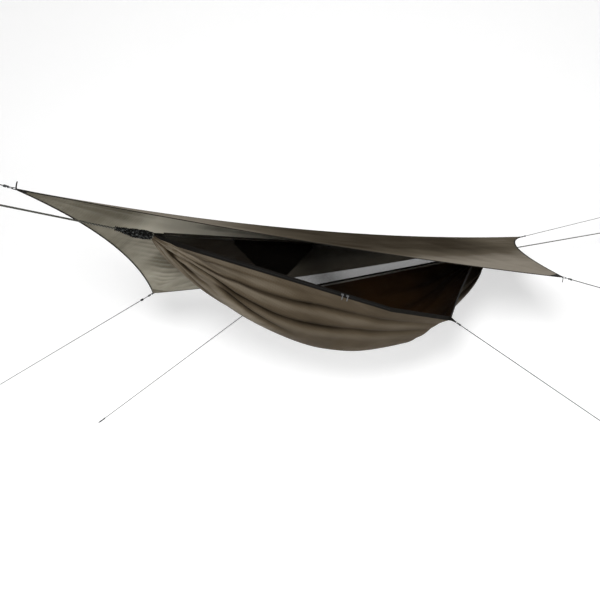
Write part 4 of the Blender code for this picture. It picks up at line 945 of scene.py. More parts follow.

# %% [markdown]
# ## The bed's mesh
# The hammock's nylon is softer and has no coat. Outside it is brown, and inside, in its own shade,
# it looks nearly black. The rows stand closer towards the gathered ends, where the cloth turns
# more, and UV runs along the tent and round each section, so that the weave keeps its size.

# %% Finish and mesh of the bed
# On both faces the deep colour paints the bed's shade and the worn one its painted light and highlights
BODY_OUTER = coated_nylon(
    "hammock nylon, brown", "1e170d", "53493b", "837a6b", roughness=0.55, crease=0.45,
    stretch=(1.2, 8.0))
BODY_INNER = coated_nylon(
    "hammock nylon, inner face", "2a1a0c", "4a3119", "5f4528", roughness=0.7, crease=0.35,
    stretch=(1.2, 8.0))
BED_ROWS, BED_COLUMNS, BED_WALL, CLOSER_AT_ENDS = 200, 160, 0.0012, 0.6
quarter_turn = np.pi / 2 * 0.999
sine_places = np.sin(np.linspace(-quarter_turn, quarter_turn, BED_ROWS)) / np.sin(quarter_turn)
even_places = np.linspace(-1, 1, BED_ROWS)
places = BODY_END * (CLOSER_AT_ENDS * sine_places + (1 - CLOSER_AT_ENDS) * even_places)
bed_points, bed_shade = bed_point(places, np.linspace(0, 1, BED_COLUMNS))
steps_across = np.linalg.norm(np.diff(bed_points, axis=1), axis=2)
across = np.concatenate([np.zeros((BED_ROWS, 1)), np.cumsum(steps_across, axis=1)], 1)
bed_uv = np.stack([bed_points[..., 0], across - across[:, -1:] / 2], -1)
bed = make_piece(
    "bed_cloth", grid(bed_points, bed_uv), (BODY_OUTER, BODY_INNER),
    replaces="hammock_body", wall=BED_WALL, shade=bed_shade)
print("bed faces:", len(bed.data.polygons), "widest section in m:", across[:, -1].max().round(2))

# %% [markdown]
# ## Insect mesh
# The net is a fine polyester mesh, about one hole per millimetre. Through one layer half of the
# light comes, and through two a quarter, which is why the sky looks grey through the whole tent.
# Holes that small can't be drawn, so the material is half see-through, with a coarser mesh of
# threads 5 mm apart that only changes how see-through it is.

# %% Finish: fine black mesh
NET_MM = 5


def fine_mesh(name, colour, strand, cover, contrast, mesh_mm):
    """Knitted mesh: dull threads, some of them brighter strands that paint glints, and alpha for the
    share of its area that they cover. The piece's shade adds to it where the mesh is drawn together,
    and in a band of the near net."""
    finish, tree, shader = new_finish(name, roughness=0.85, specular_ior_level=0.05)
    uv = add(tree, "TexCoord").outputs["UV"]
    holes = crossed_bands(tree, uv, mesh_mm)
    alpha = add(tree, "MapRange", {
        "Value": holes, "To Min": cover + contrast / 4, "To Max": cover - contrast * 0.75})
    along = add(tree, "Mapping", {"Vector": uv, "Scale": (9.0, 1.0, 1.0)})
    gleam = add(tree, "TexNoise", {"Vector": along, "Scale": 34.0, "Detail": 3.0})
    bright = add(tree, "MapRange", {"Value": gleam, "From Min": 0.52, "From Max": 0.72})
    mixed = add(tree, "Mix", {0: bright, 6: linear(colour), 7: linear(strand)}, data_type="RGBA")
    shade = add(tree, "Attribute", attribute_name="shade").outputs["Fac"]
    closed = add(tree, "Math", {0: alpha, 1: shade}, operation="ADD", use_clamp=True)
    tree.links.new(mixed.outputs[2], shader.inputs["Base Color"])
    tree.links.new(closed.outputs[0], shader.inputs["Alpha"])
    return finish


# Half of it is holes, so what lies behind comes through at half strength
NET_FINISH = fine_mesh("fine polyester insect net, black", "080604", "14100c", 0.50, 0.16, NET_MM)
print("net threads drawn every", NET_MM, "mm")

# %% [markdown]
# ## The two nets
# Each net hangs straight from the seam over the ridge line to its edge, with a slight sag. It lets
# less through near the ends, where it is drawn together, and the near one also in a band left of the
# middle.

# %% Nets
SEAM_GAP, SEAM_HEIGHT, NET_SAG = 0.0008, 0.012, 0.012
END_COVER, END_COVER_REACH = 0.34, 0.20
NEAR_BAND_COVER, NEAR_BAND_PLACE, NEAR_BAND_WIDTH = 0.25, -0.45, 0.15


def net_point(side, x, s):
    """From the seam over the ridge line (s = 0) to just over the edge tape (s = 1), with a sag that
    is greatest in the middle of the span and of the tent."""
    x, s = np.meshgrid(x, s, indexing="ij")
    sign = -1 if side == "near" else 1
    top = np.stack([x, 0 * x + sign * SEAM_GAP, 0 * x + SEAM_HEIGHT], -1)
    low = rim(side, x) + (TAPE_HEIGHT / 2 - 0.001) * UP
    points = top + s[..., None] * (low - top)
    points[..., 2] -= NET_SAG * np.sin(np.pi * s) ** 1.5 * (1 - (x / HALF) ** 2)
    return points


# The width across and the area of each net laid flat
FLAT_NETS = {"near": (0.75, 1.15), "far": (0.66, 0.97)}
for side, (length_across, area) in FLAT_NETS.items():
    points = net_point(side, np.linspace(-BODY_END, BODY_END, 110), np.linspace(0, 1, 26))
    uv = np.stack([points[..., 0], np.linalg.norm(points[..., 1:], axis=-1)], -1)
    if side == "far":
        points, uv = points[::-1], uv[::-1]
    x = points[..., 0]
    gathered = END_COVER * np.exp(-(HALF - np.abs(x)) / END_COVER_REACH)
    # The near net also lets less through in a band left of the middle, which darkens what lies behind it
    if side == "near":
        gathered += NEAR_BAND_COVER * bell(x, NEAR_BAND_PLACE, NEAR_BAND_WIDTH)
    net = make_piece(
        f"insect_net_{side}", grid(points, uv), NET_FINISH, replaces=f"net_{side}",
        shade=gathered)
    print(net.name, "faces", len(net.data.polygons))

# %% [markdown]
# ## Webbing and thread
# Every raw edge of the fly is wrapped in a folded tape and sewn through. The tent's own edges are
# polyester webbing, woven in a herringbone of about 3 mm, drawn three times coarser. Ribs across
# the tape, broken up by noise, set both its colour and its bump.

# %% Finish: woven webbing and thread
def woven_webbing(name, colour, worn, rib_mm):
    """Polyester webbing: matt, ribbed across, paler where the ribs rub."""
    finish, tree, shader = new_finish(name, roughness=0.85, specular_ior_level=0.12)
    uv = add(tree, "TexCoord").outputs["UV"]
    ribs = add(tree, "TexWave", {
        "Vector": uv, "Scale": per_metre(rib_mm), "Distortion": 1.5, "Detail": 1.0},
        bands_direction="Y").outputs["Fac"]
    rub = add(tree, "TexNoise", {"Vector": uv, "Scale": 30.0, "Detail": 3.0})
    tone = add(tree, "Math", {0: ribs, 1: rub}, operation="MULTIPLY")
    mixed = add(tree, "Mix", {0: tone, 6: linear(colour), 7: linear(worn)}, data_type="RGBA")
    bump = add(tree, "Bump", {"Height": ribs, "Strength": 0.5, "Distance": rib_mm / 6000})
    tree.links.new(mixed.outputs[2], shader.inputs["Base Color"])
    tree.links.new(bump.outputs[0], shader.inputs["Normal"])
    return finish


# Thin folded tape, a shade darker than the fly it binds
BINDING_FINISH = woven_webbing("folded nylon binding, dark brown", "1d1a15", "38332a", 6)
# Thick black tape that goes grey on its ribs
WEBBING_FINISH = woven_webbing("polyester webbing, black", "0a0907", "262320", 9)
# Dull brown thread, lighter than what it is sewn through, so that the stitches show
THREAD_FINISH = woven_webbing("bonded polyester thread", "35322b", "55503f", 2)
print("webbing finishes:", BINDING_FINISH.name, WEBBING_FINISH.name, THREAD_FINISH.name)

# %% [markdown]
# ## Sewn shapes
# A few small functions make the sewn things: a flat profile for tapes, stitches as tiny spindles
# set along a path, and a strap bent into a loop. A spindle has eight faces, because there are
# hundreds of them.

# %% Sewn shapes
STITCH_PITCH, STITCH_LENGTH, STITCH_THICK = 0.009, 0.004, 0.0009
STRAP_RADIUS, STRAP_REACH, STRAP_ROOT, STRAP_WIDTH, STRAP_THICK = 0.0033, 0.0115, -0.006, 0.010, 0.0022
SQUARING_POWER = 0.45
SPINDLE_FACES = np.array([
    (0, 2, 1), (0, 3, 2), (0, 4, 3), (0, 1, 4), (5, 1, 2), (5, 2, 3), (5, 3, 4), (5, 4, 1)])


def flat_profile(width, thickness, sides=14):
    """A flat rounded outline: a circle whose two directions are squared off by a small power."""
    rounded = circle(1, sides)
    rounded = np.sign(rounded) * np.abs(rounded) ** SQUARING_POWER
    return rounded * (width / 2, thickness / 2)


def stitches(path, hint, across, above):
    """Spindles along a path: each has a point at either end and four corners round its middle. They
    are spaced by the pitch and set off across and above the path."""
    path = np.asarray(path, float)
    run = lengths_along(path)
    at = np.arange(STITCH_PITCH, run[-1] - STITCH_PITCH, STITCH_PITCH)
    centre = np.stack([np.interp(at, run, path[:, k]) for k in range(3)], 1)
    way = unit(np.stack([np.interp(at, run, np.gradient(path[:, k])) for k in range(3)], 1))
    side, other = square_to(way, hint)
    centre = centre + across * side + above * other
    tip, half = way * STITCH_LENGTH / 2, STITCH_THICK / 2
    parts = [
        centre - tip, centre + side * half, centre + other * half, centre - side * half,
        centre - other * half, centre + tip]
    points = np.stack(parts, 1).reshape(-1, 3)
    faces = (np.arange(len(centre))[:, None, None] * len(parts) + SPINDLE_FACES).reshape(-1, 3)
    return points, [faces], [np.tile(np.array([(0, 0), (0.001, 0), (0, 0.001)]), (len(faces), 1, 1))]


def strap_loop(start, way):
    """A strap that leaves a corner, turns in a half circle and comes back: two straight runs and
    half a circle in the plane of the way, with a flat profile."""
    side, other = square_to(way)
    turn = np.linspace(-np.pi / 2, np.pi / 2, 15)
    out = np.linspace(STRAP_ROOT, STRAP_REACH, 6)[:-1]
    ahead = np.concatenate([out, STRAP_REACH + STRAP_RADIUS * np.cos(turn), out[::-1]])
    level = np.full(len(out), STRAP_RADIUS)
    height = np.concatenate([-level, STRAP_RADIUS * np.sin(turn), level])
    path = start + ahead[:, None] * way + height[:, None] * other
    return swept(path, flat_profile(STRAP_THICK, STRAP_WIDTH), hint=side)


print("faces of a stitch:", len(SPINDLE_FACES))

# %% [markdown]
# ## Bindings and the ridge seam
# A binding is a flat tape folded over the cloth, so its profile is a flat oval that follows the
# edge in the plane of its panel. The ridge seam is flat-felled: both cloths are folded into each
# other and sewn twice, which makes a stiff band that keeps rain out. Its profile is a thin roof.

# %% Edges of the fly
BINDING_WIDTH, BINDING_THICK = 0.0095, 0.0036
SEAM_HALF, SEAM_TOP, SEAM_BOTTOM, ROOF_SLOPE = 0.0068, 0.0014, -0.0012, 0.38
SEAM_STITCHES_OUT, SEAM_STITCHES_UP = 0.0048, 0.0016


def edge_line(start, end, sag, first, last, count=90):
    """The straight line between two corners plus 4 t (1 - t) times the sag."""
    t = np.linspace(first, last, count)[:, None]
    return start * (1 - t) + end * t + 4 * t * (1 - t) * sag


FLY_EDGES = {
    "fly_hem_near": (FLY_LEFT, EDGE_SAGS["near"][0], "near"),
    "fly_edge_near": (FLY_RIGHT, EDGE_SAGS["near"][1], "near"),
    "fly_edge_far": (FLY_LEFT, EDGE_SAGS["far"][0], "far"),
    "fly_hem_far": (FLY_RIGHT, EDGE_SAGS["far"][1], "far"),
}
thread = []
for name, (start, sag, half) in FLY_EDGES.items():
    plane = unit(np.cross(FLY_RIGHT - FLY_LEFT, FLY_CORNER[half] - FLY_LEFT))
    plane = plane * np.sign(plane[2])
    path = edge_line(start, FLY_CORNER[half], sag, 0.008, 0.992)
    make_piece(
        name + "_binding", swept(path, flat_profile(BINDING_WIDTH, BINDING_THICK), hint=plane),
        BINDING_FINISH, replaces=name)
    for above in (-BINDING_THICK / 2, BINDING_THICK / 2):
        thread.append(stitches(path, plane, 0, above))

ridge = edge_line(FLY_LEFT, FLY_RIGHT, RIDGE_SAG, 0.004, 0.996, 140)
out = np.linspace(-SEAM_HALF, SEAM_HALF, 9)
top = np.stack([out, SEAM_TOP - ROOF_SLOPE * np.abs(out)], 1)
bottom = np.stack([out, SEAM_BOTTOM - ROOF_SLOPE * np.abs(out)], 1)
make_piece(
    "fly_ridge_felled_seam", swept(ridge, np.concatenate([bottom, top[::-1]])), BINDING_FINISH,
    replaces="fly_ridge_seam")
for across in (-SEAM_STITCHES_OUT, SEAM_STITCHES_OUT):
    thread.append(stitches(ridge, UP, across, SEAM_STITCHES_UP - ROOF_SLOPE * SEAM_STITCHES_OUT))
make_piece("fly_stitching", joined(*thread), THREAD_FINISH)
print("edges bound:", len(FLY_EDGES) + 1)

# %% [markdown]
# ## Metal
# The rings are bent from drawn steel wire, and welded, and the zip's sliders are cast zinc with
# black enamel. Both have been handled: fine scratches scatter the light, so that one part of the
# metal gleams and the next is dull. Noise at the scratches' size changes the roughness only.

# %% Finish: steel and zinc
def worn_metal(name, colour, roughness, scratch_mm):
    """Bare or blackened metal, tumbled smooth, with fine scratches that change its gloss."""
    finish, tree, shader = new_finish(name, metallic=1.0, base_color=linear(colour))
    place = add(tree, "TexCoord").outputs["Object"]
    scratch = add(tree, "TexNoise", {
        "Vector": place, "Scale": 1000 / scratch_mm, "Detail": 3.0, "Distortion": 1.0})
    gloss = add(tree, "MapRange", {
        "Value": scratch, "To Min": roughness * 0.7, "To Max": roughness * 1.5})
    tree.links.new(gloss.outputs[0], shader.inputs["Roughness"])
    return finish


# Mid-grey wire with one soft gleam along its round
STEEL_FINISH = worn_metal("drawn steel ring, dulled", "58595b", 0.34, 4)
# Lighter where the enamel has rubbed off, so that the sliders stand out from the dark tape
ZIP_METAL_FINISH = worn_metal("cast zinc slider, enamel worn off", "6c6d6e", 0.38, 2)
print("metal finishes:", STEEL_FINISH.name, ZIP_METAL_FINISH.name)

# %% [markdown]
# ## Patches on the corners
# Each corner carries the whole pull of its line, so layers of cloth are sewn onto it. The patch is
# a fan: rays run from the corner over the cloth's own surface, so it bends over the ridge where it
# has to. From below, the far corner has the far underside's finish, with its painted light, and no
# dark patch.

# %% Corner patches
FLY_WAYS = {
    "left": CORDS["fly_cord_left"][1], "right": CORDS["fly_cord_right"][1],
    "near": CORDS["fly_guy_near"][1], "far": CORDS["fly_guy_far"][1]}
CORNER_PLACES = {"left": FLY_LEFT, "right": FLY_RIGHT, **FLY_CORNER}
CORNER_EDGES = {
    "left": (FLY_RIGHT, FLY_CORNER["near"], FLY_CORNER["far"]), "near": (FLY_LEFT, FLY_RIGHT),
    "right": (FLY_LEFT, FLY_CORNER["near"], FLY_CORNER["far"]), "far": (FLY_LEFT, FLY_RIGHT)}
PATCH_REACH, PATCH_WALL = 0.056, 0.0046


def inward_of(corner):
    """The middle direction of a corner: the sum of the ways to the other corners, made one long."""
    place = CORNER_PLACES[corner]
    return unit(sum(unit(other - place) for other in CORNER_EDGES[corner]))


def corner_patch(corner):
    """Rays from the corner, spread over its panels, each cut off at the same reach along the
    corner's middle direction. Along a ray, a point keeps to the Bezier surface of its half."""
    on_ridge = corner in ("left", "right")
    spread = np.linspace(-1, 1, 25) if on_ridge else np.linspace(0, 1, 17)
    reach = np.linspace(0.10, 1.0, 9)[:, None]

    def on_cloth(r):
        """The cloth's own points at this share of the way from the corner along each ray."""
        turn = np.abs(spread)[None, :]
        r = r + 0 * turn
        own, one, two = 1 - r, r * (1 - turn), r * turn
        if not on_ridge:
            return fly_point(corner, one, two, own)
        order = (own, one, two) if corner == "left" else (one, own, two)
        both = [fly_point(half, *order) for half in ("near", "far")]
        return np.where((spread < 0)[None, :, None], both[0], both[1])

    first = 0.01
    rate = (on_cloth(np.full((1, 1), first))[0] - CORNER_PLACES[corner]) @ inward_of(corner) / first
    points = on_cloth(reach * PATCH_REACH / rate[None, :])
    return grid(points, points[..., :2])


print("points of each patch:", {corner: len(corner_patch(corner)[0]) for corner in FLY_WAYS})

# %% [markdown]
# ## Patches, tabs and rings
# A webbing tab is sewn under the patch and holds a steel ring. At two corners the tab's spare end
# sticks out as a short tail, up at the left and down at the near one. The ring is a circle of wire
# in the plane that its line pulls in.

# %% Patches, tabs and rings
RING_RADIUS, RING_WIRE, RING_FROM_CORNER = 0.011, 0.0016, 0.0098
TAIL_FROM, TAIL_TO, TAIL_CURL, TAIL_THICK, TAIL_WIDTH = -0.004, 0.034, 4.5, 0.0024, 0.0110
TAIL_SIGNS = {"left": 1, "near": -1}

for corner, way in FLY_WAYS.items():
    finish = (FLY_INNER_FAR, WEBBING_FINISH) if corner == "far" else WEBBING_FINISH
    make_piece(f"fly_corner_{corner}_patch", corner_patch(corner), finish, wall=PATCH_WALL)
    place, inward = CORNER_PLACES[corner], inward_of(corner)
    side, other = square_to(way)
    parts = [strap_loop(place, way)]
    if corner in TAIL_SIGNS:
        along = np.linspace(TAIL_FROM, TAIL_TO, 12)[:, None]
        tail = place + TAIL_SIGNS[corner] * along * UP + (TAIL_CURL * along**2 - TAIL_FROM) * inward
        parts.append(swept(tail, flat_profile(TAIL_THICK, TAIL_WIDTH), hint=unit(np.cross(UP, inward))))
    make_piece(
        f"fly_corner_{corner}_tab", joined(*parts), WEBBING_FINISH,
        replaces=f"fly_corner_{corner}")
    centre = place + (RING_FROM_CORNER + RING_RADIUS) * way
    turn = once_round(48)[:, None]
    ring = centre + RING_RADIUS * (np.cos(turn) * way + np.sin(turn) * side)
    make_piece(
        f"fly_ring_{corner}_round", swept(ring, circle(RING_WIRE, 12), hint=other, ring=True),
        STEEL_FINISH, replaces=f"fly_ring_{corner}")
print("tabs with a tail:", list(TAIL_SIGNS))

# %% [markdown]
# ## Hitches
# Each line is tied to its ring with a hitch, here a closed turn of cord round the wire and a helix
# of three wraps round the line. Pulled tight, the cord is a little thinner than it lies loose.

# %% Hitches
TIGHT_CORD = circle(GUY * 0.42, 8)
HITCH_ANGLE, HITCH_RADIUS, HITCH_LENGTH_SHARE, HITCH_GAP_SHARE = 19, 0.0042, 2.6, 0.6


def hitch(place, way, wire):
    """A closed turn of the cord round the ring's wire, and a helix of three wraps behind it."""
    across = square_to(way)[0]
    turn = once_round(24)[:, None]
    radius = wire + GUY * 0.42
    around = place + radius * (np.cos(turn) * way + np.sin(turn) * np.cross(across, way))
    run = np.linspace(0, 1, 40)
    climb = radius + GUY * HITCH_GAP_SHARE + run * HITCH_LENGTH_SHARE * GUY
    wraps = helix(place, way, climb, HITCH_RADIUS, run * HITCH_ANGLE)
    return joined(swept(around, TIGHT_CORD, hint=across, ring=True), swept(wraps, TIGHT_CORD, hint=way))


for corner, way in FLY_WAYS.items():
    wire_place = CORNER_PLACES[corner] + (RING_FROM_CORNER + 2 * RING_RADIUS) * way
    make_piece(f"fly_hitch_{corner}", hitch(wire_place, way, RING_WIRE), GUY_FINISH)
print("hitches on the fly:", len(FLY_WAYS))

# %% [markdown]
# ## Edge tapes
# The bed and the nets are sewn to a webbing tape, 26 mm high, that runs along each long edge and
# carries the side pull. It stands upright. Two rows of stitches run along it on both faces.

# %% Edge tapes
TAPE_END, TAPE_STITCHES_UP = 1.389, 0.0095
tape_thread, tape_places = [], {}
for side, corners in (("near", (ZIP_FOOT, NEAR_CORNER)), ("far", (FAR_CORNER,))):
    even = np.linspace(-TAPE_END, TAPE_END, 150)
    tape_places[side] = np.unique(np.concatenate([even, [corner[0] for corner in corners]]))
    path = rim(side, tape_places[side])
    make_piece(
        f"edge_tape_{side}_webbing", swept(path, flat_profile(TAPE_THICK, TAPE_HEIGHT)), WEBBING_FINISH,
        replaces=f"edge_tape_{side}")
    for face in (-TAPE_THICK / 2, TAPE_THICK / 2):
        for above in (-TAPE_STITCHES_UP, TAPE_STITCHES_UP):
            tape_thread.append(stitches(path, UP, face, above))
make_piece("edge_tape_stitching", joined(*tape_thread), THREAD_FINISH)
print("tape length in m:", round(float(lengths_along(rim("near", tape_places["near"]))[-1]), 3))

# %% [markdown]
# ## Painted light on the far tape
# The far tape shows a pale line on its inner side in the picture, below a dark one. That is the
# top of the bed's far wall, lit by daylight that comes through the cloth, so a pale strip over the
# lower half of the tape's inner side paints that light.

# %% Painted light on the far tape
PAINTED_LIGHT_STRIP_IN, PAINTED_LIGHT_STRIP_BELOW, PAINTED_LIGHT_STRIP_THICK, PAINTED_LIGHT_STRIP_HEIGHT = 0.0016, 0.0062, 0.0008, 0.0125
# A cream-white strip of painted light, the only pale thing on the tent
PAINTED_LIGHT_STRIP_FINISH = woven_webbing("pale strip, painted light through the far rim", "c9c6bc", "eae7de", 6)
painted_light_strip_path = rim("far", tape_places["far"][5:-5]) - point(0, PAINTED_LIGHT_STRIP_IN, PAINTED_LIGHT_STRIP_BELOW)
make_piece(
    "edge_tape_far_painted_light_strip", swept(painted_light_strip_path, flat_profile(PAINTED_LIGHT_STRIP_THICK, PAINTED_LIGHT_STRIP_HEIGHT)),
    PAINTED_LIGHT_STRIP_FINISH)
print("facing from", painted_light_strip_path[0, 0].round(2), "to", painted_light_strip_path[-1, 0].round(2))

# %% [markdown]
# ## Tie-out corners
# Halfway along each edge a webbing corner takes the side guy line. It is a loft: a flat rounded
# outline shrinks from the tape to the tip, a little faster at first, and is pinched like folded
# cloth. A strap loop holds the line's hitch.

# %% Tie-outs
ROOT_WIDTH, ROOT_HEIGHT, TIP_WIDTH, TIP_HEIGHT = 0.014, 0.0128, 0.0058, 0.003
ROOT_OUT, SHRINK_POWER, STRAP_WIRE, LOOP_REACH = 0.0012, 0.75, 0.0012, 0.0138
TIE_OUT_SECTIONS, TIE_OUT_SIDES = 12, 24


def tie_out_shape(corner, way):
    """Sections between the tape and the tip. Width and height shrink by a power of the share of the
    way, and the outline turns from upright to square with the line."""
    level = unit(way * LEVEL)
    share = np.linspace(0, 1, TIE_OUT_SECTIONS)[:, None]
    eased = share**SHRINK_POWER
    centre = corner + level * ROOT_OUT * (1 - share) + TIE_OUT_LENGTH * share * way
    side, other = square_to(way)
    across = unit(np.cross(UP, level))
    across = across * np.sign(np.dot(across, side))
    wide = unit(across * (1 - share) + side * share) * (ROOT_WIDTH * (1 - eased) + TIP_WIDTH * eased)
    tall = unit(UP * (1 - share) + other * share) * (ROOT_HEIGHT * (1 - eased) + TIP_HEIGHT * eased)
    outline = flat_profile(2.0, 2.0, TIE_OUT_SIDES)
    points = centre[:, None] + outline[:, :1] * wide[:, None] + outline[:, 1:] * tall[:, None]
    round_it = np.linspace(0, 0.08, TIE_OUT_SIDES + 1)
    uv = np.stack(np.meshgrid(round_it, np.linspace(0, TIE_OUT_LENGTH, TIE_OUT_SECTIONS)), -1)
    return grid(points, uv, closed=True, capped=True)


for side, corner, way in (("near", NEAR_CORNER, NEAR_WAY), ("far", FAR_CORNER, FAR_WAY)):
    strap = strap_loop(corner + TIE_OUT_LENGTH * way, way)
    make_piece(
        f"tie_out_{side}_corner", joined(tie_out_shape(corner, way), strap), WEBBING_FINISH,
        replaces=f"tie_out_{side}")
    loop_place = corner + (TIE_OUT_LENGTH + LOOP_REACH) * way
    make_piece(f"side_hitch_{side}", hitch(loop_place, way, STRAP_WIRE), GUY_FINISH)
print("tie-outs at x", NEAR_CORNER[0].round(2), "and", FAR_CORNER[0].round(2))

# %% [markdown]
# ## Moulded nylon
# The zip's coil is a nylon thread wound hot into a spiral, and the hooks and clips are injection
# moulded from black nylon. Both are smooth with a dull gloss. The mould was spark-eroded, which
# leaves a faint grain about as fine as sand, and that is noise in colour and bump.

# %% Finish: moulded nylon
def moulded_plastic(name, colour, roughness, grain_mm):
    """Injection-moulded plastic: smooth, with a faint spark-eroded grain from the mould."""
    finish, tree, shader = new_finish(name, roughness=roughness, ior=1.5, specular_ior_level=0.15)
    place = add(tree, "TexCoord").outputs["Object"]
    grain = add(tree, "TexNoise", {"Vector": place, "Scale": 1000 / grain_mm, "Detail": 2.0})
    mixed = add(tree, "Mix", {0: grain, 6: linear(colour), 7: linear("1c1c1c")}, data_type="RGBA")
    bump = add(tree, "Bump", {"Height": grain, "Strength": 0.25, "Distance": grain_mm / 4000})
    tree.links.new(mixed.outputs[2], shader.inputs["Base Color"])
    tree.links.new(bump.outputs[0], shader.inputs["Normal"])
    return finish


# Near black and a touch glossier than its tape, so that the teeth read as a fine row of points
COIL_FINISH = moulded_plastic("nylon zip coil, black", "0e0e0e", 0.5, 1.5)
# Deep black with a small dull highlight on each rounded edge
MOULDED_FINISH = moulded_plastic("moulded nylon hook, black", "101011", 0.42, 1.2)
print("nylon finishes:", COIL_FINISH.name, MOULDED_FINISH.name)

# %% [markdown]
# ## The zip
# The near edge opens with a coil zip: a plastic spiral whose turns look like small teeth, and two
# sliders with pull tabs, which are already right in the frame and only need their finish. The real
# teeth are 1.3 mm apart, and here they are 2.5 mm apart, so that they show. One small block is
# copied along the edge in one array sum, and every second one is shifted up.

# %% Zip teeth
ZIP_WAY = unit(ZIP_FOOT - HEAD_RIM)
ZIP_OUT = unit(np.cross(ZIP_WAY, UP))
ZIP_UP = np.cross(ZIP_OUT, ZIP_WAY)
ZIP_START, ZIP_LENGTH, TOOTH_PITCH = 0.250, 1.193, 0.0025
TOOTH_FOOT, TOOTH_OUT, TOOTH_TAPER, TOOTH_SHIFT = 0.00155, 0.0019, 0.0005, 0.0008
TOOTH_HALF_HEIGHT, TOOTH_HALF_LENGTH = 0.0022, 0.0008
ZIP_CORD_OUT, ZIP_CORD_THICK, ZIP_CORD_WIDTH = 0.0020, 0.0012, 0.0030
BLOCK_FACES = np.array([(0, 2, 3, 1), (4, 5, 7, 6), (0, 1, 5, 4), (2, 6, 7, 3), (0, 4, 6, 2), (1, 3, 7, 5)])
ahead, upright, along_zip = np.array([(a, b, c) for a in (0, 1) for b in (-1, 1) for c in (-1, 1)], float).T
along = ZIP_START + np.arange(TOOTH_PITCH, ZIP_LENGTH, TOOTH_PITCH)[:, None]
shift = np.where(np.arange(len(along)) % 2, TOOTH_SHIFT, -TOOTH_SHIFT)[:, None]
local = np.stack([
    TOOTH_FOOT + ahead * (TOOTH_OUT - TOOTH_TAPER * np.abs(upright)) + 0 * along,
    shift + upright * TOOTH_HALF_HEIGHT, along + along_zip * TOOTH_HALF_LENGTH], -1)
teeth = HEAD_RIM + local @ np.stack([ZIP_OUT, ZIP_UP, ZIP_WAY])
tooth_faces = (np.arange(len(along))[:, None, None] * len(ahead) + BLOCK_FACES).reshape(-1, 4)
tooth_uv = np.tile(np.array([(0, 0), (0.002, 0), (0.002, 0.002), (0, 0.002)]), (len(tooth_faces), 1, 1))
zip_run = (ZIP_START + np.linspace(0, ZIP_LENGTH, 60))[:, None]
zip_cord = swept(HEAD_RIM + zip_run * ZIP_WAY + ZIP_CORD_OUT * ZIP_OUT,
                 flat_profile(ZIP_CORD_THICK, ZIP_CORD_WIDTH, 8))
make_piece(
    "zip_coil_teeth", joined((teeth.reshape(-1, 3), [tooth_faces], [tooth_uv]), zip_cord),
    COIL_FINISH, replaces="zip_coil")
print("teeth:", len(along))

# %% [markdown]
# ## Gathered ends
# At both ends the whole width of the bed is folded into pleats, pressed into a bundle and whipped
# with cord, and the suspension rope is tied behind it. Each point of the bed's last section runs
# straight to its place on a small ring round the rope, and eleven pleats wave the surface between.
# The nets and the tapes run into the same ring. The whipping is a helix.

# %% Shapes of the end bundles
NECK, NECK_RADIUS, BUNDLE_ROWS = 1.457, 0.0135, 26
WHIP_START, WHIP_LENGTH, WHIP_RADIUS, WHIP_TURNS, WHIP_WIRE = 1.4555, 0.019, 0.0158, 6, 0.0019
NOSE_START, NOSE_LENGTH, NOSE_ROOT, NOSE_TIP = 1.452, 0.028, 0.0148, 0.005


def neck_ring(sign, turn):
    """Points of the ring round the rope where all the cloth is drawn together."""
    return np.stack([sign * NECK + 0 * turn, NECK_RADIUS * np.cos(turn), NECK_RADIUS * np.sin(turn)], -1)


def drawn_together(sign, section, turn, pleats, depth, section_shade=0):
    """A straight blend from a section to the ring. Pleats push points in and out from the middle
    line by a cosine of their place across, most halfway along. The shade fades out from the section's,
    paints light and shade on the pleats, and paints more shade towards the ring."""
    s = np.linspace(0, 1, BUNDLE_ROWS)[:, None]
    across = np.linspace(0, 1, len(turn))[None, :]
    points = section[None] * (1 - s[..., None]) + neck_ring(sign, turn)[None] * s[..., None]
    fold = np.cos(2 * np.pi * pleats * across + 3 * s) * np.sin(np.pi * 0.95 * s) ** 0.8
    from_middle = unit(points * (0, 1, 1) + 1e-9)
    points = points + (depth * fold)[..., None] * from_middle
    uv = np.stack(np.broadcast_arrays(s * 0.07, across * 0.3), -1)
    shade = (1 - s) * section_shade + step(s, 0, 0.3) * 0.25 * fold - 0.15 * s
    if sign < 0:
        points, uv, shade = points[::-1], uv[::-1], shade[::-1]
    return grid(points, uv), shade


def whipping(sign):
    """A helix of six turns round the neck, and the cone of rope that leaves it, whose radius shrinks
    with the square of the way along."""
    run = np.linspace(0, 1, 120)
    turn = run * WHIP_TURNS * 2 * np.pi
    path = np.stack([
        sign * (WHIP_START + WHIP_LENGTH * run), WHIP_RADIUS * np.cos(turn), WHIP_RADIUS * np.sin(turn)], 1)
    nose = np.linspace(0, 1, 8)
    core = sign * (NOSE_START + NOSE_LENGTH * nose)[:, None] * ALONG
    radius = NOSE_ROOT * (1 - nose**2) + NOSE_TIP * nose**2
    return joined(
        swept(path, circle(WHIP_WIRE, 8), hint=ALONG), swept(core, circle(1.0, 16) * radius[:, None, None]))


print("bundle from", BODY_END, "to", NECK, "m from the middle")
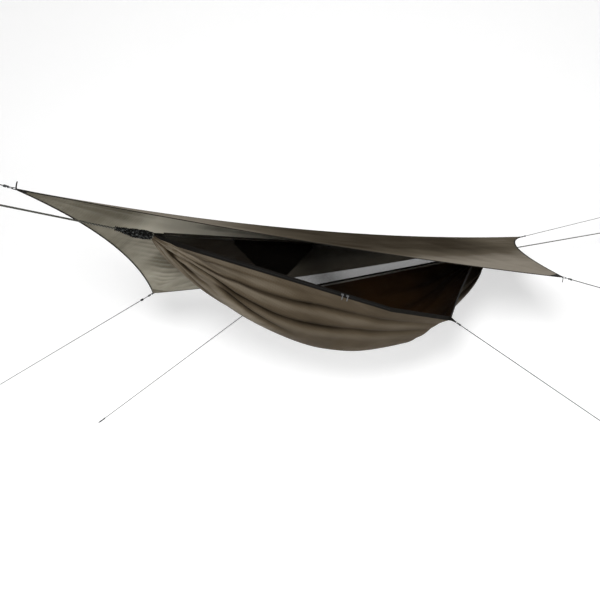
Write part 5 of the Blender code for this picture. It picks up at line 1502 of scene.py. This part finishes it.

# %% [markdown]
# Gathered net is packed so tight that it hides nearly everything behind it, and its strands are
# painted paler, as glints of the light they catch. The near net folds into the lower near quarter of
# the ring and the far net into the far one, and each tape narrows as it goes in.

# %% End bundles
GATHERED_NET = fine_mesh("insect net, gathered, black", "080604", "1c1712", 0.93, 0.10, NET_MM)
PLEATS, PLEAT_DEPTH, NET_PLEATS, NET_PLEAT_DEPTH, TAPE_NARROWS_TO = 11, 0.0032, 3, 0.0014, 0.42
NET_QUARTERS = {"near": np.linspace(np.pi / 2, np.pi, 26), "far": np.linspace(np.pi / 2, 0, 26)}
lower_half = np.pi + np.pi * np.linspace(0, 1, BED_COLUMNS)
for label, sign in (("left", -1), ("right", 1)):
    end = np.array([sign * BODY_END])
    section, section_shade = (part[0] for part in bed_point(end, np.linspace(0, 1, BED_COLUMNS)))
    cloth, cloth_shade = drawn_together(sign, section, lower_half, PLEATS, PLEAT_DEPTH, section_shade)
    make_piece(
        f"end_bundle_{label}_pleats", cloth, (BODY_OUTER, BODY_INNER),
        replaces=f"end_bundle_{label}", wall=BED_WALL, shade=cloth_shade)
    nets = []
    for side, quarter in NET_QUARTERS.items():
        section = net_point(side, end, np.linspace(0, 1, len(quarter)))[0]
        nets.append(drawn_together(sign, section, quarter, NET_PLEATS, NET_PLEAT_DEPTH)[0])
        path = np.linspace(rim(side, sign * (BODY_END - 0.001)), neck_ring(sign, quarter[-1:])[0], 12)
        height = TAPE_HEIGHT * np.linspace(1, TAPE_NARROWS_TO, 12)
        profile = np.stack([flat_profile(TAPE_THICK, tall) for tall in height])
        make_piece(f"edge_tape_{side}_{label}_end", swept(path, profile), WEBBING_FINISH)
    make_piece(f"end_bundle_{label}_net", joined(*nets), GATHERED_NET)
    make_piece(f"end_bundle_{label}_whipping", whipping(sign), ROPE_FINISH)
print("pleats in each bundle:", PLEATS)

# %% [markdown]
# ## The ridge line and the net's seam
# A 4 mm cord of fixed length joins both ends inside the tent. It keeps the bed's hang the same
# however the ropes are tied. Above it the two nets meet in a narrow bound seam.

# %% Ridge line and net seam
LINE_RADIUS, SEAM_END, NET_SEAM_HEIGHT = 0.002, 1.388, 0.0125
NET_SEAM_WIDTH, NET_SEAM_THICK = 0.0052, 0.010
line_path = np.linspace(-BODY_END, BODY_END, 60)[:, None] * ALONG
make_piece(
    "ridge_line_braid", swept(line_path, circle(LINE_RADIUS, 10)), GUY_FINISH,
    replaces="ridge_line")
seam_path = np.linspace(-SEAM_END, SEAM_END, 80)[:, None] * ALONG + NET_SEAM_HEIGHT * UP
make_piece(
    "net_ridge_binding", swept(seam_path, flat_profile(NET_SEAM_WIDTH, NET_SEAM_THICK)), BINDING_FINISH)
print("ridge line in m:", 2 * BODY_END)

# %% [markdown]
# ## The ridge-line pouch
# A three-cornered pocket hangs from the ridge line for small things. It is two pieces of black
# cloth sewn along their slanted sides. The back runs up to a channel on the line, and the front
# stops lower and stands open a little, with a hem along its mouth.

# %% Shape of the pouch
POUCH_MIDDLE, POUCH_HALF, POUCH_TOP, POUCH_DEPTH, POUCH_SWELL = -0.640, 0.300, -0.022, 0.235, 0.0122
BACK_HALF, BACK_TOP = POUCH_HALF - 0.002, -0.0036


def pouch_face(swell):
    """A triangle as a grid: u runs across and v from mouth to tip. It swells by a power of the sine
    of u, less towards the tip, and has a slight wave."""
    u = np.linspace(0, 1, 41)[None, :]
    v = np.linspace(0, 0.985, 30)[:, None]
    x = POUCH_MIDDLE + (2 * u - 1) * POUCH_HALF * (1 - v)
    y = swell * np.sin(np.pi * u) ** 0.6 * (1 - v) ** 0.35 + 0.0008 * np.sin(14 * u + 9 * v)
    z = POUCH_TOP - POUCH_DEPTH * v + 0 * u
    return np.stack([x, y, z], -1)


def up_to_line(face, rows):
    """Extra rows over a face, from the line down to its mouth: a straight blend of both."""
    mouth = face[0]
    on_line = np.stack([0 * mouth[:, 0], 0 * mouth[:, 1], 0 * mouth[:, 2] + BACK_TOP], -1)
    share = np.linspace(0, 1, rows, endpoint=False)[:, None, None]
    upper = on_line * (1 - share) + mouth * share
    upper[..., 0] = POUCH_MIDDLE + np.linspace(-1, 1, len(mouth)) * BACK_HALF
    return np.concatenate([upper, face])


front_points = pouch_face(-POUCH_SWELL)
back_points = up_to_line(pouch_face(POUCH_SWELL), 6)
mouth_gap = pouch_face(POUCH_SWELL)[0, 20, 1] - front_points[0, 20, 1]
print("pouch mouth open in mm:", round(1000 * float(mouth_gap), 1))

# %% [markdown]
# The channel is a tube with a hole, so that the ridge line runs through it. Its rings of points
# go out along the outside and come back along the inside, to where they began. The cloth is dull
# and black, so the pouch shows as a flat dark triangle.

# %% Pouch
# Dull black cloth, a little paler where it is rubbed
POUCH_FINISH = coated_nylon("pouch cloth, black", "050403", "0a0806", "15110d", roughness=0.7)
POUCH_WALL, CHANNEL_OUTER, CHANNEL_INNER, CHANNEL_SIDES = 0.0012, 0.0044, 0.0028, 16
HEM_THICK, HEM_HEIGHT, HEM_LIFT = 0.0022, 0.012, 0.0004


def hollow_tube(first, last, outer, inner, sides):
    """Rings of points at two x places: both outer ones, both inner ones, and the first one again."""
    rings = [(first, outer), (last, outer), (last, inner), (first, inner), (first, outer)]
    points = np.stack([x * ALONG + np.pad(circle(radius, sides), ((0, 0), (1, 0))) for x, radius in rings])
    return grid(points, np.zeros((len(rings), sides + 1, 2)), closed=True)


back = make_piece(
    "pouch_back", grid(back_points, back_points[..., [0, 2]]), POUCH_FINISH, body="pouch",
    replaces="ridge_pouch", wall=POUCH_WALL)
front = make_piece(
    "pouch_front", grid(front_points[::-1], front_points[::-1][..., [0, 2]]), POUCH_FINISH,
    body="pouch", wall=POUCH_WALL)
channel = hollow_tube(
    POUCH_MIDDLE - POUCH_HALF, POUCH_MIDDLE + POUCH_HALF, CHANNEL_OUTER, CHANNEL_INNER, CHANNEL_SIDES)
trim = make_piece(
    "pouch_hem_and_channel",
    joined(swept(front_points[0] + HEM_LIFT * UP, flat_profile(HEM_THICK, HEM_HEIGHT)), channel),
    POUCH_FINISH, body="pouch")
print("bore of the channel in mm:", 2000 * CHANNEL_INNER)

# %% [markdown]
# ## Mesh sleeves
# Long mesh tubes are pushed up on both ropes. Drawn over the furled tent they pack it like a
# snake's skin. Pushed up they bunch into deep uneven ripples. The radius of the tube waves along
# its length, and two slower waves round it break up the evenness.

# %% Sleeves
# Black mesh with grey glints painted on some strands, for the light its many edges catch.
# Bunched up, it is almost closed.
SLEEVE_MESH = fine_mesh("bunched sleeve mesh, black", "0c0c0b", "767978", 0.90, 0.30, 7)
SLEEVE_FROM, SLEEVE_START, SLEEVE_LENGTH, SLEEVE_WALL, RIPPLES = 1.48, -0.016, 0.194, 0.0006, 20
SLEEVE_THIN, SLEEVE_FULLER, SLEEVE_SAG, SMALLEST_RADIUS = 0.0090, 0.0105, 0.004, 0.0058
BUNCH_DEPTH, BUNCH_CHANGE, KINK_DEPTH = 0.0032, 0.35, 0.0009
FLAT_SLEEVE, SLEEVE_RINGS, SLEEVE_SIDES = (0.11, 0.30), 300, 48


def sleeve_shape(start, way):
    """Rings along the rope. The radius is widest near the knot and narrows away from it, ripples
    wave it, and their depth and place change with the angle. The fuller part hangs a little low."""
    side, other = square_to(way)
    t = np.linspace(0, 1, SLEEVE_RINGS)[:, None]
    turn = once_round(SLEEVE_SIDES)[None, :]
    body = SLEEVE_THIN + SLEEVE_FULLER * step(t, 1.0, 0.35)
    phase = 2 * np.pi * RIPPLES * t + 1.1 * np.sin(turn + 5 * t) + 0.7 * np.sin(3 * turn - 4 * t)
    depth = BUNCH_DEPTH * (1 + BUNCH_CHANGE * np.sin(2 * turn + 23 * t)) * step(t, 0.0, 0.10)
    radius = body + depth * np.cos(phase) + KINK_DEPTH * np.sin(7 * turn + 40 * t)
    radius = np.maximum(radius, SMALLEST_RADIUS)
    along = SLEEVE_START + SLEEVE_LENGTH * t + 0 * turn
    ring = np.cos(turn)[..., None] * side + np.sin(turn)[..., None] * other
    low = SLEEVE_SAG * np.sin(np.pi * t) ** 2
    points = start + along[..., None] * way + radius[..., None] * ring - low[..., None] * UP
    round_it = np.linspace(0, FLAT_SLEEVE[0], SLEEVE_SIDES + 1)
    uv = np.stack(np.meshgrid(round_it, np.linspace(0, FLAT_SLEEVE[1], SLEEVE_RINGS)), -1)
    return grid(points, uv, closed=True)


for label, sign in (("left", -1), ("right", 1)):
    way = CORDS[f"main_rope_{label}"][1]
    sleeve = make_piece(
        f"mesh_sleeve_{label}_bunched", sleeve_shape(sign * SLEEVE_FROM * ALONG, way), SLEEVE_MESH,
        body=f"sleeve_{label}", replaces=f"mesh_sleeve_{label}", wall=SLEEVE_WALL)
    print(sleeve.name, "faces", len(sleeve.data.polygons))

# %% [markdown]
# ## Parts that keep their solid
# Sliders, pulls, clips, hooks and the line adjuster are rigid, and the frame already has their
# true shape, so they get a finish and nothing else.

# %% Finishes for the rigid nodes
RIGID = {
    "zip_slider_left": ZIP_METAL_FINISH, "zip_slider_right": ZIP_METAL_FINISH,
    "zip_pull_left": ZIP_METAL_FINISH, "zip_pull_right": ZIP_METAL_FINISH,
    "pouch_clip_left": MOULDED_FINISH, "pouch_clip_right": MOULDED_FINISH,
    "ridge_hook_left": MOULDED_FINISH, "ridge_hook_right": MOULDED_FINISH,
    "guy_adjuster": MOULDED_FINISH,
}
for name, finish in RIGID.items():
    for used in bpy.data.objects[name].material_slots:
        used.material = finish
print("rigid nodes finished:", len(RIGID))

# %% [markdown]
# ## The end

# %% Done
print("all pieces made")
